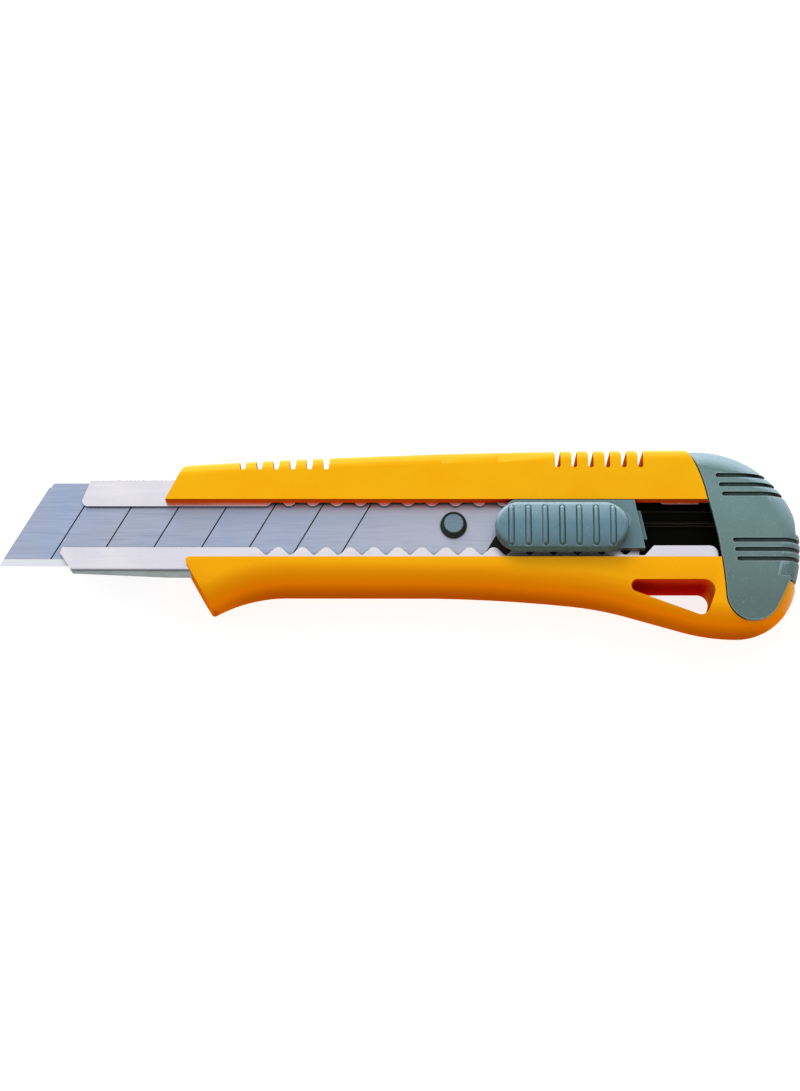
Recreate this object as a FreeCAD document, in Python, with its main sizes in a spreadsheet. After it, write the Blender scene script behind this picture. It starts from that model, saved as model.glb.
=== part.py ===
"""Snap-off knife: an 18 mm blade in a steel channel, a sliding blade lock and a pull-off end cap.

Millimetres. X runs along the knife from the blade's tip to the end cap, Y runs across it from the cutting
edge to the spine, and Z runs up from the back, which lies at Z = 0, to the thumb button. The origin is the
centre of the outline, on the back.
"""
import FreeCAD, Part
import math
import os

import Sketcher

DIMENSIONS = [
    # handle
    ("handle_thickness", 14.0, "back to face"),
    ("half_width", 19.84, "overall width is twice this"),
    ("grip_rounding", 6.5, "long rounding of the finger side"),
    ("spine_rounding", 2.8, "rounding of the spine"),
    ("upper_nose_x", -49.1, "front of the upper bar at the slot"),
    ("upper_nose_top_x", -45.1, "top of the upper bar's slanted front"),
    ("nose_rounding", 3.0, "rounded corner at the top of that front"),
    ("spine_front_y", 16.5, "spine height at the front"),
    ("spine_front_rise", 0.74, "rise of the spine from its front to the first notch"),
    ("spine_radius", 1720.0, "long arc of the spine"),
    ("spine_rear_x", 62.436, "rear end of the spine's arc"),
    ("lower_nose_x", -45.1, "front of the lower bar at the slot"),
    ("chin_rounding", 0.8, "corner there, above the flanges"),
    ("guard_x", -38.9, "tip of the finger guard"),
    ("guard_y", -15.0, "tip of the finger guard"),
    ("guard_rounding", 1.3, "tip of the finger guard"),
    ("guard_hollow_run", 3.0, "direction of the hollow at the guard's tip"),
    ("guard_hollow_rise", 1.9, "direction of the hollow at the guard's tip"),
    ("guard_radius", 30.0, "hollow behind the finger guard"),
    ("grip_y", -10.9, "finger side of the grip, at its straight"),
    ("grip_straight_x", 2.0, "rear end of that straight"),
    ("grip_radius", 320.0, "long hollow of the grip"),
    ("belly_x", 36.0, "rear end of the long hollow"),
    ("belly_radius", 68.0, "hollow before the tail"),
    ("tail_radius", 42.0, "tail, before its lowest point"),
    ("tail_x", 70.4, "lowest point of the tail"),
    ("arm_radius", 12.6, "tail, after its lowest point"),
    ("arm_tip_x", 82.3, "inner corner of the arm's tip"),
    ("arm_tip_y", -10.4, "outer corner of the arm's tip"),
    ("arm_tip_slant", 0.3, "the arm's end leans this much"),
    ("arm_rounding", 1.3, "inner corner of the arm's tip"),
    ("slot_top", 8.5, "upper edge of the slot in the face"),
    ("slot_bottom", -3.95, "lower edge of the slot in the face"),
    ("tongue_inset", 1.5, "step from the face down to the tail tongue"),
    ("tongue_top_y", 17.0, "upper edge of the tongue inside the cap"),
    ("tongue_top_x", 67.5, "rear end of that edge"),
    ("tongue_rake", 1.8, "step from the spine down to that edge"),
    ("tongue_end_x", 76.0, "rear end of the tongue"),
    ("tongue_end_y", 11.0, "upper corner of the tongue's end"),
    ("arm_inner_y", -8.7, "inner edge of the arm's tip"),
    ("front_notch_x", -33.0, "first notch in the front of the spine"),
    ("front_notch_pitch", 3.5, "front notches"),
    ("front_notch_width", 1.35, "front notches at the mouth"),
    ("front_notch_depth", 2.5, "front notches"),
    ("front_notch_rise", 1.0, "spine at the front notches, above its front end"),
    ("front_notch_flare", 0.25, "front notches, wider mouth on each side"),
    ("front_notch_root", 1.2, "front notches, height of the narrowing root"),
    ("front_notch_taper", 0.2, "front notches, narrower root on each side"),
    ("rear_notch_x", 33.7, "rear wall of the first rear notch"),
    ("rear_notch_pitch", 3.47, "rear notches"),
    ("rear_notch_width", 1.15, "rear notches below their mouth"),
    ("rear_notch_flare", 0.95, "rear notches, round of the tooth in front"),
    ("rear_notch_lip", 0.35, "rear notches, round of the tooth behind"),
    ("rear_notch_depth", 4.4, "rear notches"),
    ("rear_notch_corner", 0.3, "rear notches, corners at the root"),
    ("flare_bow", 2.2, "radius of the tooth's round, as a share of its width"),
    ("flare_fall", 1.9, "depth of the tooth's round, as a share of its width"),
    ("lip_fall", 2.0, "depth of the other round, as a share of its width"),
    ("notch_count", 6.0, "notches in each row"),
    ("eye_left_x", 42.0, "lanyard hole, sharp left corner"),
    ("eye_right_x", 66.26, "lanyard hole, sharp upper right corner"),
    ("eye_top_y", -8.79, "lanyard hole, upper side"),
    ("eye_low_x", 63.46, "lanyard hole, sharp lower corner"),
    ("eye_low_y", -16.56, "lanyard hole, sharp lower corner"),
    ("eye_left_radius", 1.26, "lanyard hole, left end"),
    ("eye_top_radius", 2.3, "lanyard hole, upper right corner"),
    ("eye_low_radius", 1.8, "lanyard hole, lower corner"),
    # cap parting line
    ("parting_top_x", 59.95, "cap's front edge at the spine"),
    ("parting_top_radius", 29.8, "cap's front edge, upper hollow"),
    ("parting_knee_x", 64.15, "cap's front edge beside the slot"),
    ("parting_knee_y", 9.0, "cap's front edge beside the slot"),
    ("parting_low_radius", 92.0, "cap's front edge, lower hollow"),
    ("lobe_start_x", 67.45, "cap's front edge where the lobe begins"),
    ("lobe_start_y", -11.8, "cap's front edge where the lobe begins"),
    ("lobe_radius", 5.5, "lobe at the bottom of the cap"),
    ("lobe_end_x", 77.95, "end of the lobe's round"),
    ("lobe_end_y", -14.2, "end of the lobe's round"),
    ("lobe_top_x", 80.85, "top of the lobe's rear side"),
    ("lobe_top_y", -9.0, "top of the lobe's rear side"),
    ("arm_step_x", 71.4, "step of the arm below the lobe"),
    ("arm_step_y", -17.2, "step of the arm below the lobe"),
    ("cap_play", 0.3, "gap between the cap and the handle"),
    ("cap_grip_play", 0.12, "gap inside the cap, round the tongue"),
    ("cheek_play", 0.1, "gap between the tongue and each cheek"),
    # cap
    ("cap_shoulder_radius", 21.74, "upper rear of the cap"),
    ("cap_shoulder_x", 79.394, "end of the shoulder's arc"),
    ("cap_shoulder_y", 11.605, "end of the shoulder's arc"),
    ("cap_blank_x", 52.0, "front of the block that the cap is cut from"),
    ("cap_end_x", 83.75, "rear end of the cap: half the knife's length"),
    ("cap_end_y", -0.7856, "rearmost point of the cap"),
    ("cap_back_radius", 19.8, "rear of the cap, above the rearmost point"),
    ("cap_heel_radius", 28.4, "rear of the cap, below the rearmost point"),
    ("cap_heel_x", 82.6822, "bottom of the cap's rear"),
    ("cap_heel_y", -8.5, "bottom of the cap's rear"),
    ("cap_rounding", 4.4, "outer rounding of the cap"),
    ("cap_edge_band", 1.2, "width of the band that holds the rounded edges"),
    ("cap_groove_depth", 1.0, "grip grooves of the cap"),
    ("cap_groove_width", 0.95, "grip grooves of the cap"),
    ("cap_groove_pitch", 2.02, "grip grooves of the cap"),
    ("cap_groove_count", 3.0, "grooves in each group"),
    ("upper_groove_x", 66.12, "start of the topmost groove"),
    ("upper_groove_y", 13.7, "topmost groove"),
    ("lower_groove_x", 69.23, "start of the fourth groove"),
    ("lower_groove_y", -0.35, "fourth groove"),
    ("upper_groove_step", 0.6, "each upper groove starts this much further back"),
    ("lower_groove_step", 0.38, "each lower groove starts this much further back"),
    ("cap_notch_low", 1.2, "notch in the cap's end"),
    ("cap_notch_high", 5.4, "notch in the cap's end"),
    ("cap_notch_depth", 1.1, "notch in the cap's end"),
    ("snapper_width", 1.1, "blade-snapping slit"),
    ("snapper_length", 11.0, "blade-snapping slit"),
    ("snapper_depth", 6.2, "blade-snapping slit"),
    # channel
    ("channel_width", 20.1, "steel channel, outside"),
    ("channel_height", 6.9, "steel channel, outside"),
    ("sheet", 0.7, "steel channel's sheet"),
    ("flange_drop", 2.9, "handle face down to the channel's flanges"),
    ("bend_radius", 0.5, "steel channel, outside of its bends"),
    ("channel_play", 0.05, "channel in the handle"),
    ("blade_axis_y", 3.96, "middle of the blade and of the channel"),
    ("channel_front_x", -71.1, "lower front corner of the channel"),
    ("channel_rear_x", 66.5, "rear end of the lower flange"),
    ("rear_lean", 3.7, "upper flange ends this far ahead, at the slot"),
    ("rear_far_lean", 5.4, "upper flange ends this far ahead, beyond the bend"),
    ("chin_cut", 2.5, "lower front corner, along the side"),
    ("chin_y", -2.4, "lower front corner, foremost point"),
    ("chin_run", 0.5, "front of the lower flange, further back at the slot"),
    ("brow_x", -66.8, "foremost point of the upper flange"),
    ("brow_y", 9.2, "foremost point of the upper flange"),
    ("brow_round", 1.2, "lower front corner of the upper flange"),
    ("brow_top_x", -64.9, "front of the upper flange at the bend"),
    ("keel_front", 4.6, "how far the channel's front rises above its bottom"),
    ("keel_rear_x", -46.0, "rear end of the rising bottom"),
    ("flange_corner", 1.8, "rear corner of the lower flange"),
    ("release_front_x", 50.0, "gap in the waves where the lock is freed"),
    ("release_rear_x", 51.2, "gap in the waves where the lock is freed"),
    ("release_rake", 1.9, "slanted rear side of that gap"),
    ("release_low_y", -2.9, "depth of that gap in the lower flange"),
    ("release_high_y", 8.8, "depth of that gap in the upper flange"),
    ("rear_land_x", 55.1, "front of the plain rear end of the upper flange"),
    ("flange_slit_low", -1.2, "edge of the lower flange, front and waves"),
    ("rear_land_low", -0.8, "edge of the lower flange, plain rear end"),
    ("rear_land_rise", 0.45, "upper flange's plain rear end, further back from the slot"),
    ("flange_slit_high", 7.75, "edge of the upper flange"),
    ("wave_pitch", 5.0, "locking waves, two to each blade segment"),
    ("wave_depth", 1.5, "locking waves"),
    ("wave_first_x", -27.9, "first wave of the lower flange"),
    ("wave_shift", 2.1, "upper waves lie this far behind the lower ones"),
    ("wave_count", 16.0, "waves in each flange"),
    ("wave_crest_radius", 1.3, "locking waves"),
    ("wave_valley_radius", 0.66, "locking waves"),
    ("wave_slope_x", 1.613, "upper end of a wave's slope, from its middle"),
    ("wave_slope_y", 0.35, "upper end of a wave's slope"),
    ("wave_foot_x", 0.45, "lower end of a wave's slope, from its middle"),
    ("wave_foot_y", 1.435, "lower end of a wave's slope"),
    # blade
    ("blade_width", 18.0, "blade"),
    ("blade_length", 100.0, "blade, along its cutting edge"),
    ("blade_thickness", 0.5, "blade"),
    ("blade_play", 0.05, "blade under the flanges and on the carrier"),
    ("segment_pitch", 10.0, "score lines"),
    ("segment_count", 7.0, "score lines"),
    ("score_shift", 0.28, "score lines lie this far ahead of whole segments"),
    ("score_width", 0.3, "score lines"),
    ("score_depth", 0.16, "score lines"),
    ("blade_rake", 0.5774, "score lines and tip: run along the blade for each unit across it"),
    ("tip_break_drop", 0.91, "step at the top of the tip"),
    ("tip_break_step", 0.35, "step at the top of the tip"),
    ("tip_break_run", 0.64, "step at the top of the tip"),
    ("bevel_width", 1.45, "ground bevel of the cutting edge"),
    ("bevel_reach", 1.5, "the bevel's cut runs on past the edge by half its width"),
    ("bevel_drop", 0.2, "ground bevel of the cutting edge"),
    ("peg_x", 11.25, "peg that carries the blade"),
    ("peg_y", 3.75, "peg that carries the blade"),
    ("peg_radius", 2.7, "peg at its foot"),
    ("peg_rise", 2.4, "peg above the carrier"),
    ("peg_chamfer", 0.75, "top of the peg"),
    ("peg_hole_play", 0.1, "blade hole round the peg"),
    # slider
    ("carrier_front_x", 3.0, "front of the carrier"),
    ("carrier_rear_x", 49.0, "rear of the carrier"),
    ("carrier_width", 17.9, "carrier"),
    ("carrier_thickness", 1.8, "carrier under the blade"),
    ("carrier_lift", 0.5, "carrier's rear, above its front"),
    ("tail_gap", 0.2, "blade's tail end to the carrier's step"),
    ("rail_width", 2.8, "guide rail"),
    ("rail_offset", 1.875, "guide rail's middle from the blade's middle"),
    ("rail_base", 2.9, "strip under the guide rail"),
    ("strip_margin", 0.5, "strip narrower than the carrier, each side"),
    ("rail_setback", 1.0, "guide rail starts this far behind the strip"),
    ("rail_height", 4.2, "guide rail with its strip"),
    ("rail_play", 0.15, "carrier round the rail"),
    ("rail_front_x", -68.0, "front of the guide strip"),
    ("rail_rear_x", 73.8, "rear of the guide strip"),
    ("rest_length", 10.0, "raised blade rest at the front of the strip"),
    ("plate_low", -2.05, "lower edge of the slider plate"),
    ("plate_high", 8.35, "upper edge of the slider plate"),
    ("plate_front_x", 20.4, "front of the slider plate"),
    ("plate_nose_length", 3.5, "round front of the slider plate"),
    ("plate_nose_radius", 5.6, "round front of the slider plate"),
    ("plate_rear_x", 49.0, "rear of the slider plate at its upper edge"),
    ("plate_rake", 2.0, "how much further back its lower edge ends"),
    ("plate_thickness", 2.7, "slider plate"),
    ("plate_lift", 0.1, "slider plate above the flanges"),
    ("neck_low", 0.3, "neck through the channel's slit"),
    ("neck_high", 6.5, "neck through the channel's slit"),
    ("neck_front_x", 24.6, "front of the neck"),
    ("neck_rear_x", 50.35, "rear of the neck at its upper edge"),
    ("neck_rake", 1.3, "how much further back its lower edge ends"),
    ("neck_step", 0.9, "visible step of the neck above the flanges"),
    ("window_front_x", 31.4, "spring window"),
    ("window_rear_x", 38.6, "spring window"),
    ("rivet_radius", 1.2, "rivets"),
    ("rivet_head_radius", 2.0, "rivets"),
    ("rivet_play", 0.1, "gap between a rivet and the carrier"),
    ("rivet_head", 0.6, "rivets"),
    ("rivet_front_x", 28.3, "front rivet"),
    ("rivet_rear_x", 46.0, "rear rivet"),
    ("lock_thickness", 0.5, "lock spring"),
    ("lock_play", 0.15, "gap under the lock spring"),
    ("lower_ear_wave", 13.0, "wave that holds the lower ear"),
    ("upper_ear_wave", 12.0, "wave that holds the upper ear"),
    ("ear_flare", 0.3, "ears, wider root on each side"),
    ("ear_tip", 0.25, "ears, half the width of the tip"),
    ("ear_play", 0.3, "gap between an ear and the wave's bottom"),
    ("ear_width", 1.8, "ears of the lock spring"),
    ("spring_thickness", 0.4, "button spring"),
    ("spring_play", 0.25, "gap beside the button spring"),
    ("bow_play", 0.05, "gap over and under the button spring"),
    ("bow_lean", 1.75, "run of the spring's slanted ends"),
    ("bow_fold", 0.25, "further run on the inner side"),
    ("bow_foot", 0.46, "foot of the button spring"),
    ("spring_width", 3.6, "button spring"),
    # button
    ("button_front_x", 19.75, "front of the thumb button"),
    ("button_rear_x", 47.45, "rear of the thumb button"),
    ("button_low", -3.2, "lower edge of the thumb button"),
    ("button_high", 7.3, "upper edge of the thumb button"),
    ("button_gap", 0.95, "button above the slider plate"),
    ("button_thickness", 2.35, "button"),
    ("button_rounding", 0.7, "button's upper edge"),
    ("button_end_share", 0.7, "length of the button's bowed ends, as a share of half its width"),
    ("button_bow_share", 1.065, "radius of those ends, as a share of half its width"),
    ("rib_count", 7.0, "ribs of the button"),
    ("rib_pitch", 3.52, "ribs of the button"),
    ("rib_first_x", 23.1, "first rib"),
    ("rib_width", 1.1, "ribs"),
    ("rib_length", 8.0, "ribs"),
    ("rib_moat", 0.28, "groove round each rib"),
    ("rib_moat_depth", 0.55, "groove round each rib"),
    ("rib_rise", 0.2, "ribs above the button"),
    ("leg_length", 2.0, "button legs"),
    ("leg_width", 4.4, "button legs"),
    ("leg_front_x", 23.6, "front leg"),
    ("leg_rear_x", 40.6, "rear leg"),
    ("leg_reach", 1.4, "button legs below the plate's face"),
    ("leg_play", 0.15, "button legs in the plate"),
]


class Size:
    """A length together with the spreadsheet expression that gives it."""

    def __init__(self, value, text):
        self.value = value
        self.text = text

    def joined(self, other, sign, value):
        return Size(value, f"({self.text} {sign} {size_of(other).text})")

    def __add__(self, other):
        return self.joined(other, "+", self.value + size_of(other).value)

    def __sub__(self, other):
        return self.joined(other, "-", self.value - size_of(other).value)

    def __mul__(self, other):
        return self.joined(other, "*", self.value * size_of(other).value)

    def __truediv__(self, other):
        return self.joined(other, "/", self.value / size_of(other).value)

    def __neg__(self):
        return Size(-self.value, f"(0 - {self.text})")


def size_of(number):
    """A Size stays as it is; a plain number becomes one."""
    if isinstance(number, Size):
        return number
    return Size(float(number), repr(float(number)))


BEYOND = size_of(90.0)  # past either end of the knife
CLEAR = size_of(2.0)  # deep cuts start and end this far outside the solid
OVERLAP = size_of(0.5)  # neighbouring outlines run into each other this far
SLIVER = size_of(0.2)  # cuts through thin sheet start and end this far outside it


class Dims:
    """Every driving dimension, by its alias."""


def write_sheet(doc):
    """Fill the spreadsheet and return the dimensions as Sizes."""
    sheet = doc.addObject("Spreadsheet::Sheet", "Sizes")
    dims = Dims()
    for row, (alias, value, meaning) in enumerate(DIMENSIONS, start=1):
        sheet.set(f"A{row}", alias)
        sheet.set(f"B{row}", str(value))
        sheet.set(f"C{row}", meaning)
        sheet.setAlias(f"B{row}", alias)
        setattr(dims, alias, Size(value, f"Sizes.{alias}"))
    doc.recompute()
    return dims


# ---------------------------------------------------------------- drawing helpers

def new_body(doc, label):
    """A PartDesign body whose label names its file."""
    body = doc.addObject("PartDesign::Body", label)
    body.Label = label
    body.Placement = FreeCAD.Placement()
    return body


def new_sketch(body, name, plane="XY_Plane", offset=0.0):
    """A sketch on one of the body's own origin planes, moved along the plane's normal."""
    sketch = body.newObject("Sketcher::SketchObject", name)
    support = [item for item in body.Origin.OriginFeatures if item.Role == plane][0]
    sketch.AttachmentSupport = (support, [""])
    sketch.MapMode = "FlatFace"
    sketch.setExpression("AttachmentOffset.Base.z", size_of(offset).text)
    return sketch


def constrain(sketch, kind, *values):
    """Add a constraint; a Size at the end is bound to the sheet."""
    last = values[-1]
    if isinstance(last, Size):
        index = sketch.addConstraint(Sketcher.Constraint(kind, *values[:-1], last.value))
        sketch.setExpression(f"Constraints[{index}]", last.text)
        return
    sketch.addConstraint(Sketcher.Constraint(kind, *values))


def fix_point(sketch, edge, end, x, y):
    """Place one end of an edge at x, y, measured from the sketch's origin."""
    constrain(sketch, "DistanceX", -1, 1, edge, end, size_of(x))
    constrain(sketch, "DistanceY", -1, 1, edge, end, size_of(y))


def arc_between(start, finish, radius):
    """The short arc from start to finish; a positive radius turns left, a negative one turns right."""
    chord = finish - start
    side = FreeCAD.Vector(-chord.y, chord.x, 0).normalize()
    rise = math.sqrt(max(radius * radius - chord.Length ** 2 / 4, 0.0))
    centre = (start + finish) / 2 + side * math.copysign(rise, radius)
    middle = centre + ((start + finish) / 2 - centre).normalize() * abs(radius)
    return Part.Arc(start, middle, finish), radius > 0


def outline(sketch, corners):
    """Close a profile through corners (x, y) or (x, y, radius of the arc that leaves the corner)."""
    places = []
    for corner in corners:
        places.append(FreeCAD.Vector(size_of(corner[0]).value, size_of(corner[1]).value, 0))
    ends = []
    for number, corner in enumerate(corners):
        start = places[number]
        finish = places[(number + 1) % len(places)]
        if len(corner) == 2:
            edge = sketch.addGeometry(Part.LineSegment(start, finish), False)
            ends.append((edge, 1, 2))
            continue
        radius = size_of(corner[2])
        arc, left = arc_between(start, finish, radius.value)
        edge = sketch.addGeometry(arc, False)
        ends.append((edge, 1, 2) if left else (edge, 2, 1))
        size = radius if left else -radius
        constrain(sketch, "Radius", edge, size)
    for number, corner in enumerate(corners):
        edge, first, last = ends[number]
        following, next_first, _ = ends[(number + 1) % len(ends)]
        constrain(sketch, "Coincident", edge, last, following, next_first)
        fix_point(sketch, edge, first, corner[0], corner[1])


def rounded(before, corner, after, radius):
    """The two outline corners that put an arc, tangent to both sides, in place of a sharp corner."""
    def point(place):
        return FreeCAD.Vector(size_of(place[0]).value, size_of(place[1]).value, 0)

    peak = point(corner)
    back = (point(before) - peak).normalize()
    ahead = (point(after) - peak).normalize()
    reach = size_of(radius).value / math.tan(back.getAngle(ahead) / 2)
    start = peak + back * reach
    finish = peak + ahead * reach
    turns_left = ahead.cross(back).z > 0
    return [(start.x, start.y, radius if turns_left else -size_of(radius)), (finish.x, finish.y)]


def rectangle(sketch, low_x, low_y, high_x, high_y):
    outline(sketch, [(low_x, low_y), (high_x, low_y), (high_x, high_y), (low_x, high_y)])


def circle(sketch, x, y, radius):
    centre = FreeCAD.Vector(size_of(x).value, size_of(y).value, 0)
    ring = Part.Circle(centre, FreeCAD.Vector(0, 0, 1), size_of(radius).value)
    edge = sketch.addGeometry(ring, False)
    fix_point(sketch, edge, 3, x, y)
    constrain(sketch, "Radius", edge, size_of(radius))


def stadium(sketch, low_x, low_y, high_x, high_y):
    """An upright slot shape: a round at each end, straight sides between them."""
    radius = (high_x - low_x) / 2
    middle = (high_x + low_x) / 2
    top = high_y - radius
    bottom = low_y + radius
    up = FreeCAD.Vector(0, radius.value, 0)
    across = FreeCAD.Vector(radius.value, 0, 0)
    over = FreeCAD.Vector(middle.value, top.value, 0)
    under = FreeCAD.Vector(middle.value, bottom.value, 0)
    upper = sketch.addGeometry(Part.Arc(over + across, over + up, over - across), False)
    left = sketch.addGeometry(Part.LineSegment(over - across, under - across), False)
    lower = sketch.addGeometry(Part.Arc(under - across, under - up, under + across), False)
    right = sketch.addGeometry(Part.LineSegment(under + across, over + across), False)
    for edge, following in ((upper, left), (left, lower), (lower, right), (right, upper)):
        constrain(sketch, "Tangent", edge, 2, following, 1)
    fix_point(sketch, upper, 3, middle, top)
    constrain(sketch, "DistanceY", -1, 1, lower, 3, bottom)
    constrain(sketch, "Radius", upper, radius)
    constrain(sketch, "Vertical", left)


def lying_stadium(sketch, start_x, y, width, end_x):
    """A groove that starts with a round end at start_x and runs on past end_x."""
    radius = width / 2
    shoulder = start_x + radius
    centre = FreeCAD.Vector(shoulder.value, size_of(y).value, 0)
    up = FreeCAD.Vector(0, radius.value, 0)
    ahead = FreeCAD.Vector(radius.value, 0, 0)
    far = FreeCAD.Vector(end_x.value - shoulder.value, 0, 0)
    end = sketch.addGeometry(Part.Arc(centre + up, centre - ahead, centre - up), False)
    low = sketch.addGeometry(Part.LineSegment(centre - up, centre - up + far), False)
    back = sketch.addGeometry(Part.LineSegment(centre - up + far, centre + up + far), False)
    high = sketch.addGeometry(Part.LineSegment(centre + up + far, centre + up), False)
    constrain(sketch, "Tangent", end, 2, low, 1)
    constrain(sketch, "Coincident", low, 2, back, 1)
    constrain(sketch, "Coincident", back, 2, high, 1)
    constrain(sketch, "Tangent", high, 2, end, 1)
    constrain(sketch, "Horizontal", low)
    constrain(sketch, "Vertical", back)
    fix_point(sketch, end, 3, shoulder, y)
    constrain(sketch, "Radius", end, radius)
    constrain(sketch, "DistanceX", -1, 1, back, 1, size_of(end_x))


def settle(body, feature):
    """Recompute and stop at once if the feature or its shape is bad."""
    body.Tip = feature
    body.Document.recompute()
    if "Invalid" in feature.State or feature.Shape.isNull() or not feature.Shape.isValid():
        raise RuntimeError(f"{feature.Name} failed: {feature.State} {feature.getStatusString()}")
    return feature


def pad(body, name, sketch, length):
    """Raise a sketch along its plane's normal."""
    feature = body.newObject("PartDesign::Pad", name)
    feature.Profile = sketch
    feature.setExpression("Length", size_of(length).text)
    return settle(body, feature)


def pocket(body, name, sketch, depth, upwards=False):
    """Cut a sketch against its plane's normal, or along it; a cut that changes nothing is an error."""
    volume, faces = body.Shape.Volume, len(body.Shape.Faces)
    feature = body.newObject("PartDesign::Pocket", name)
    feature.Profile = sketch
    feature.Reversed = upwards
    feature.setExpression("Length", size_of(depth).text)
    settle(body, feature)
    if body.Shape.Volume > volume - 1e-4 and len(body.Shape.Faces) == faces:
        raise RuntimeError(f"{name} cuts nothing")
    return feature


def repeat(body, name, feature, sketch, pitch, count, axis="H_Axis"):
    """Repeat a feature in a row."""
    row = body.newObject("PartDesign::LinearPattern", name)
    row.Originals = [feature]
    row.Direction = (sketch, [axis])
    row.setExpression("Length", (pitch * (count - 1)).text)
    row.setExpression("Occurrences", count.text)
    return settle(body, row)


def edge_names(shape, wanted):
    """The names of the edges whose middle point and direction satisfy wanted(middle, direction)."""
    names = []
    for number, edge in enumerate(shape.Edges, start=1):
        half = (edge.FirstParameter + edge.LastParameter) / 2
        if wanted(edge.valueAt(half), edge.tangentAt(half)):
            names.append(f"Edge{number}")
    return names


def round_edges(body, name, radius, wanted):
    """Fillet the edges that wanted(middle, direction) picks."""
    base = body.Tip
    names = edge_names(base.Shape, wanted)
    if not names:
        raise RuntimeError(f"{name} finds no edge")
    feature = body.newObject("PartDesign::Fillet", name)
    feature.Base = (base, names)
    feature.setExpression("Radius", size_of(radius).text)
    return settle(body, feature)


def chamfer_edges(body, name, size, wanted):
    """Chamfer the edges that wanted(middle point, direction) picks."""
    base = body.Tip
    feature = body.newObject("PartDesign::Chamfer", name)
    feature.Base = (base, edge_names(base.Shape, wanted))
    feature.setExpression("Size", size_of(size).text)
    return settle(body, feature)


def near(value, target, slack=0.02):
    return abs(value - size_of(target).value) < slack


# ---------------------------------------------------------------- levels that several sub-parts share

def add_levels(dims):
    """Heights worked out from the driving dimensions."""
    dims.flange_top = dims.handle_thickness - dims.flange_drop
    dims.flange_under = dims.flange_top - dims.sheet
    dims.channel_under = dims.flange_top - dims.channel_height
    dims.channel_floor = dims.channel_under + dims.sheet
    dims.channel_low = dims.blade_axis_y - dims.channel_width / 2
    dims.channel_high = dims.blade_axis_y + dims.channel_width / 2
    dims.blade_top = dims.flange_under - dims.blade_play
    dims.blade_under = dims.blade_top - dims.blade_thickness
    dims.carrier_top = dims.blade_under - dims.blade_play
    dims.carrier_under = dims.carrier_top - dims.carrier_thickness
    dims.carrier_step = dims.carrier_top + dims.carrier_lift
    dims.plate_under = dims.flange_top + dims.plate_lift
    dims.plate_top = dims.plate_under + dims.plate_thickness
    dims.button_under = dims.plate_top + dims.button_gap
    dims.button_top = dims.button_under + dims.button_thickness
    dims.rail_middle = dims.blade_axis_y + dims.rail_offset
    dims.middle_y = (dims.button_low + dims.button_high) / 2


# ---------------------------------------------------------------- handle

def parting_line(dims, play):
    """The cap's front edge, from the spine down to the end of the lobe's round, as outline corners."""
    return [(dims.parting_top_x + play, dims.half_width, -dims.parting_top_radius),
            (dims.parting_knee_x + play, dims.parting_knee_y, -dims.parting_low_radius),
            (dims.lobe_start_x + play, dims.lobe_start_y, dims.lobe_radius)]


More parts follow.
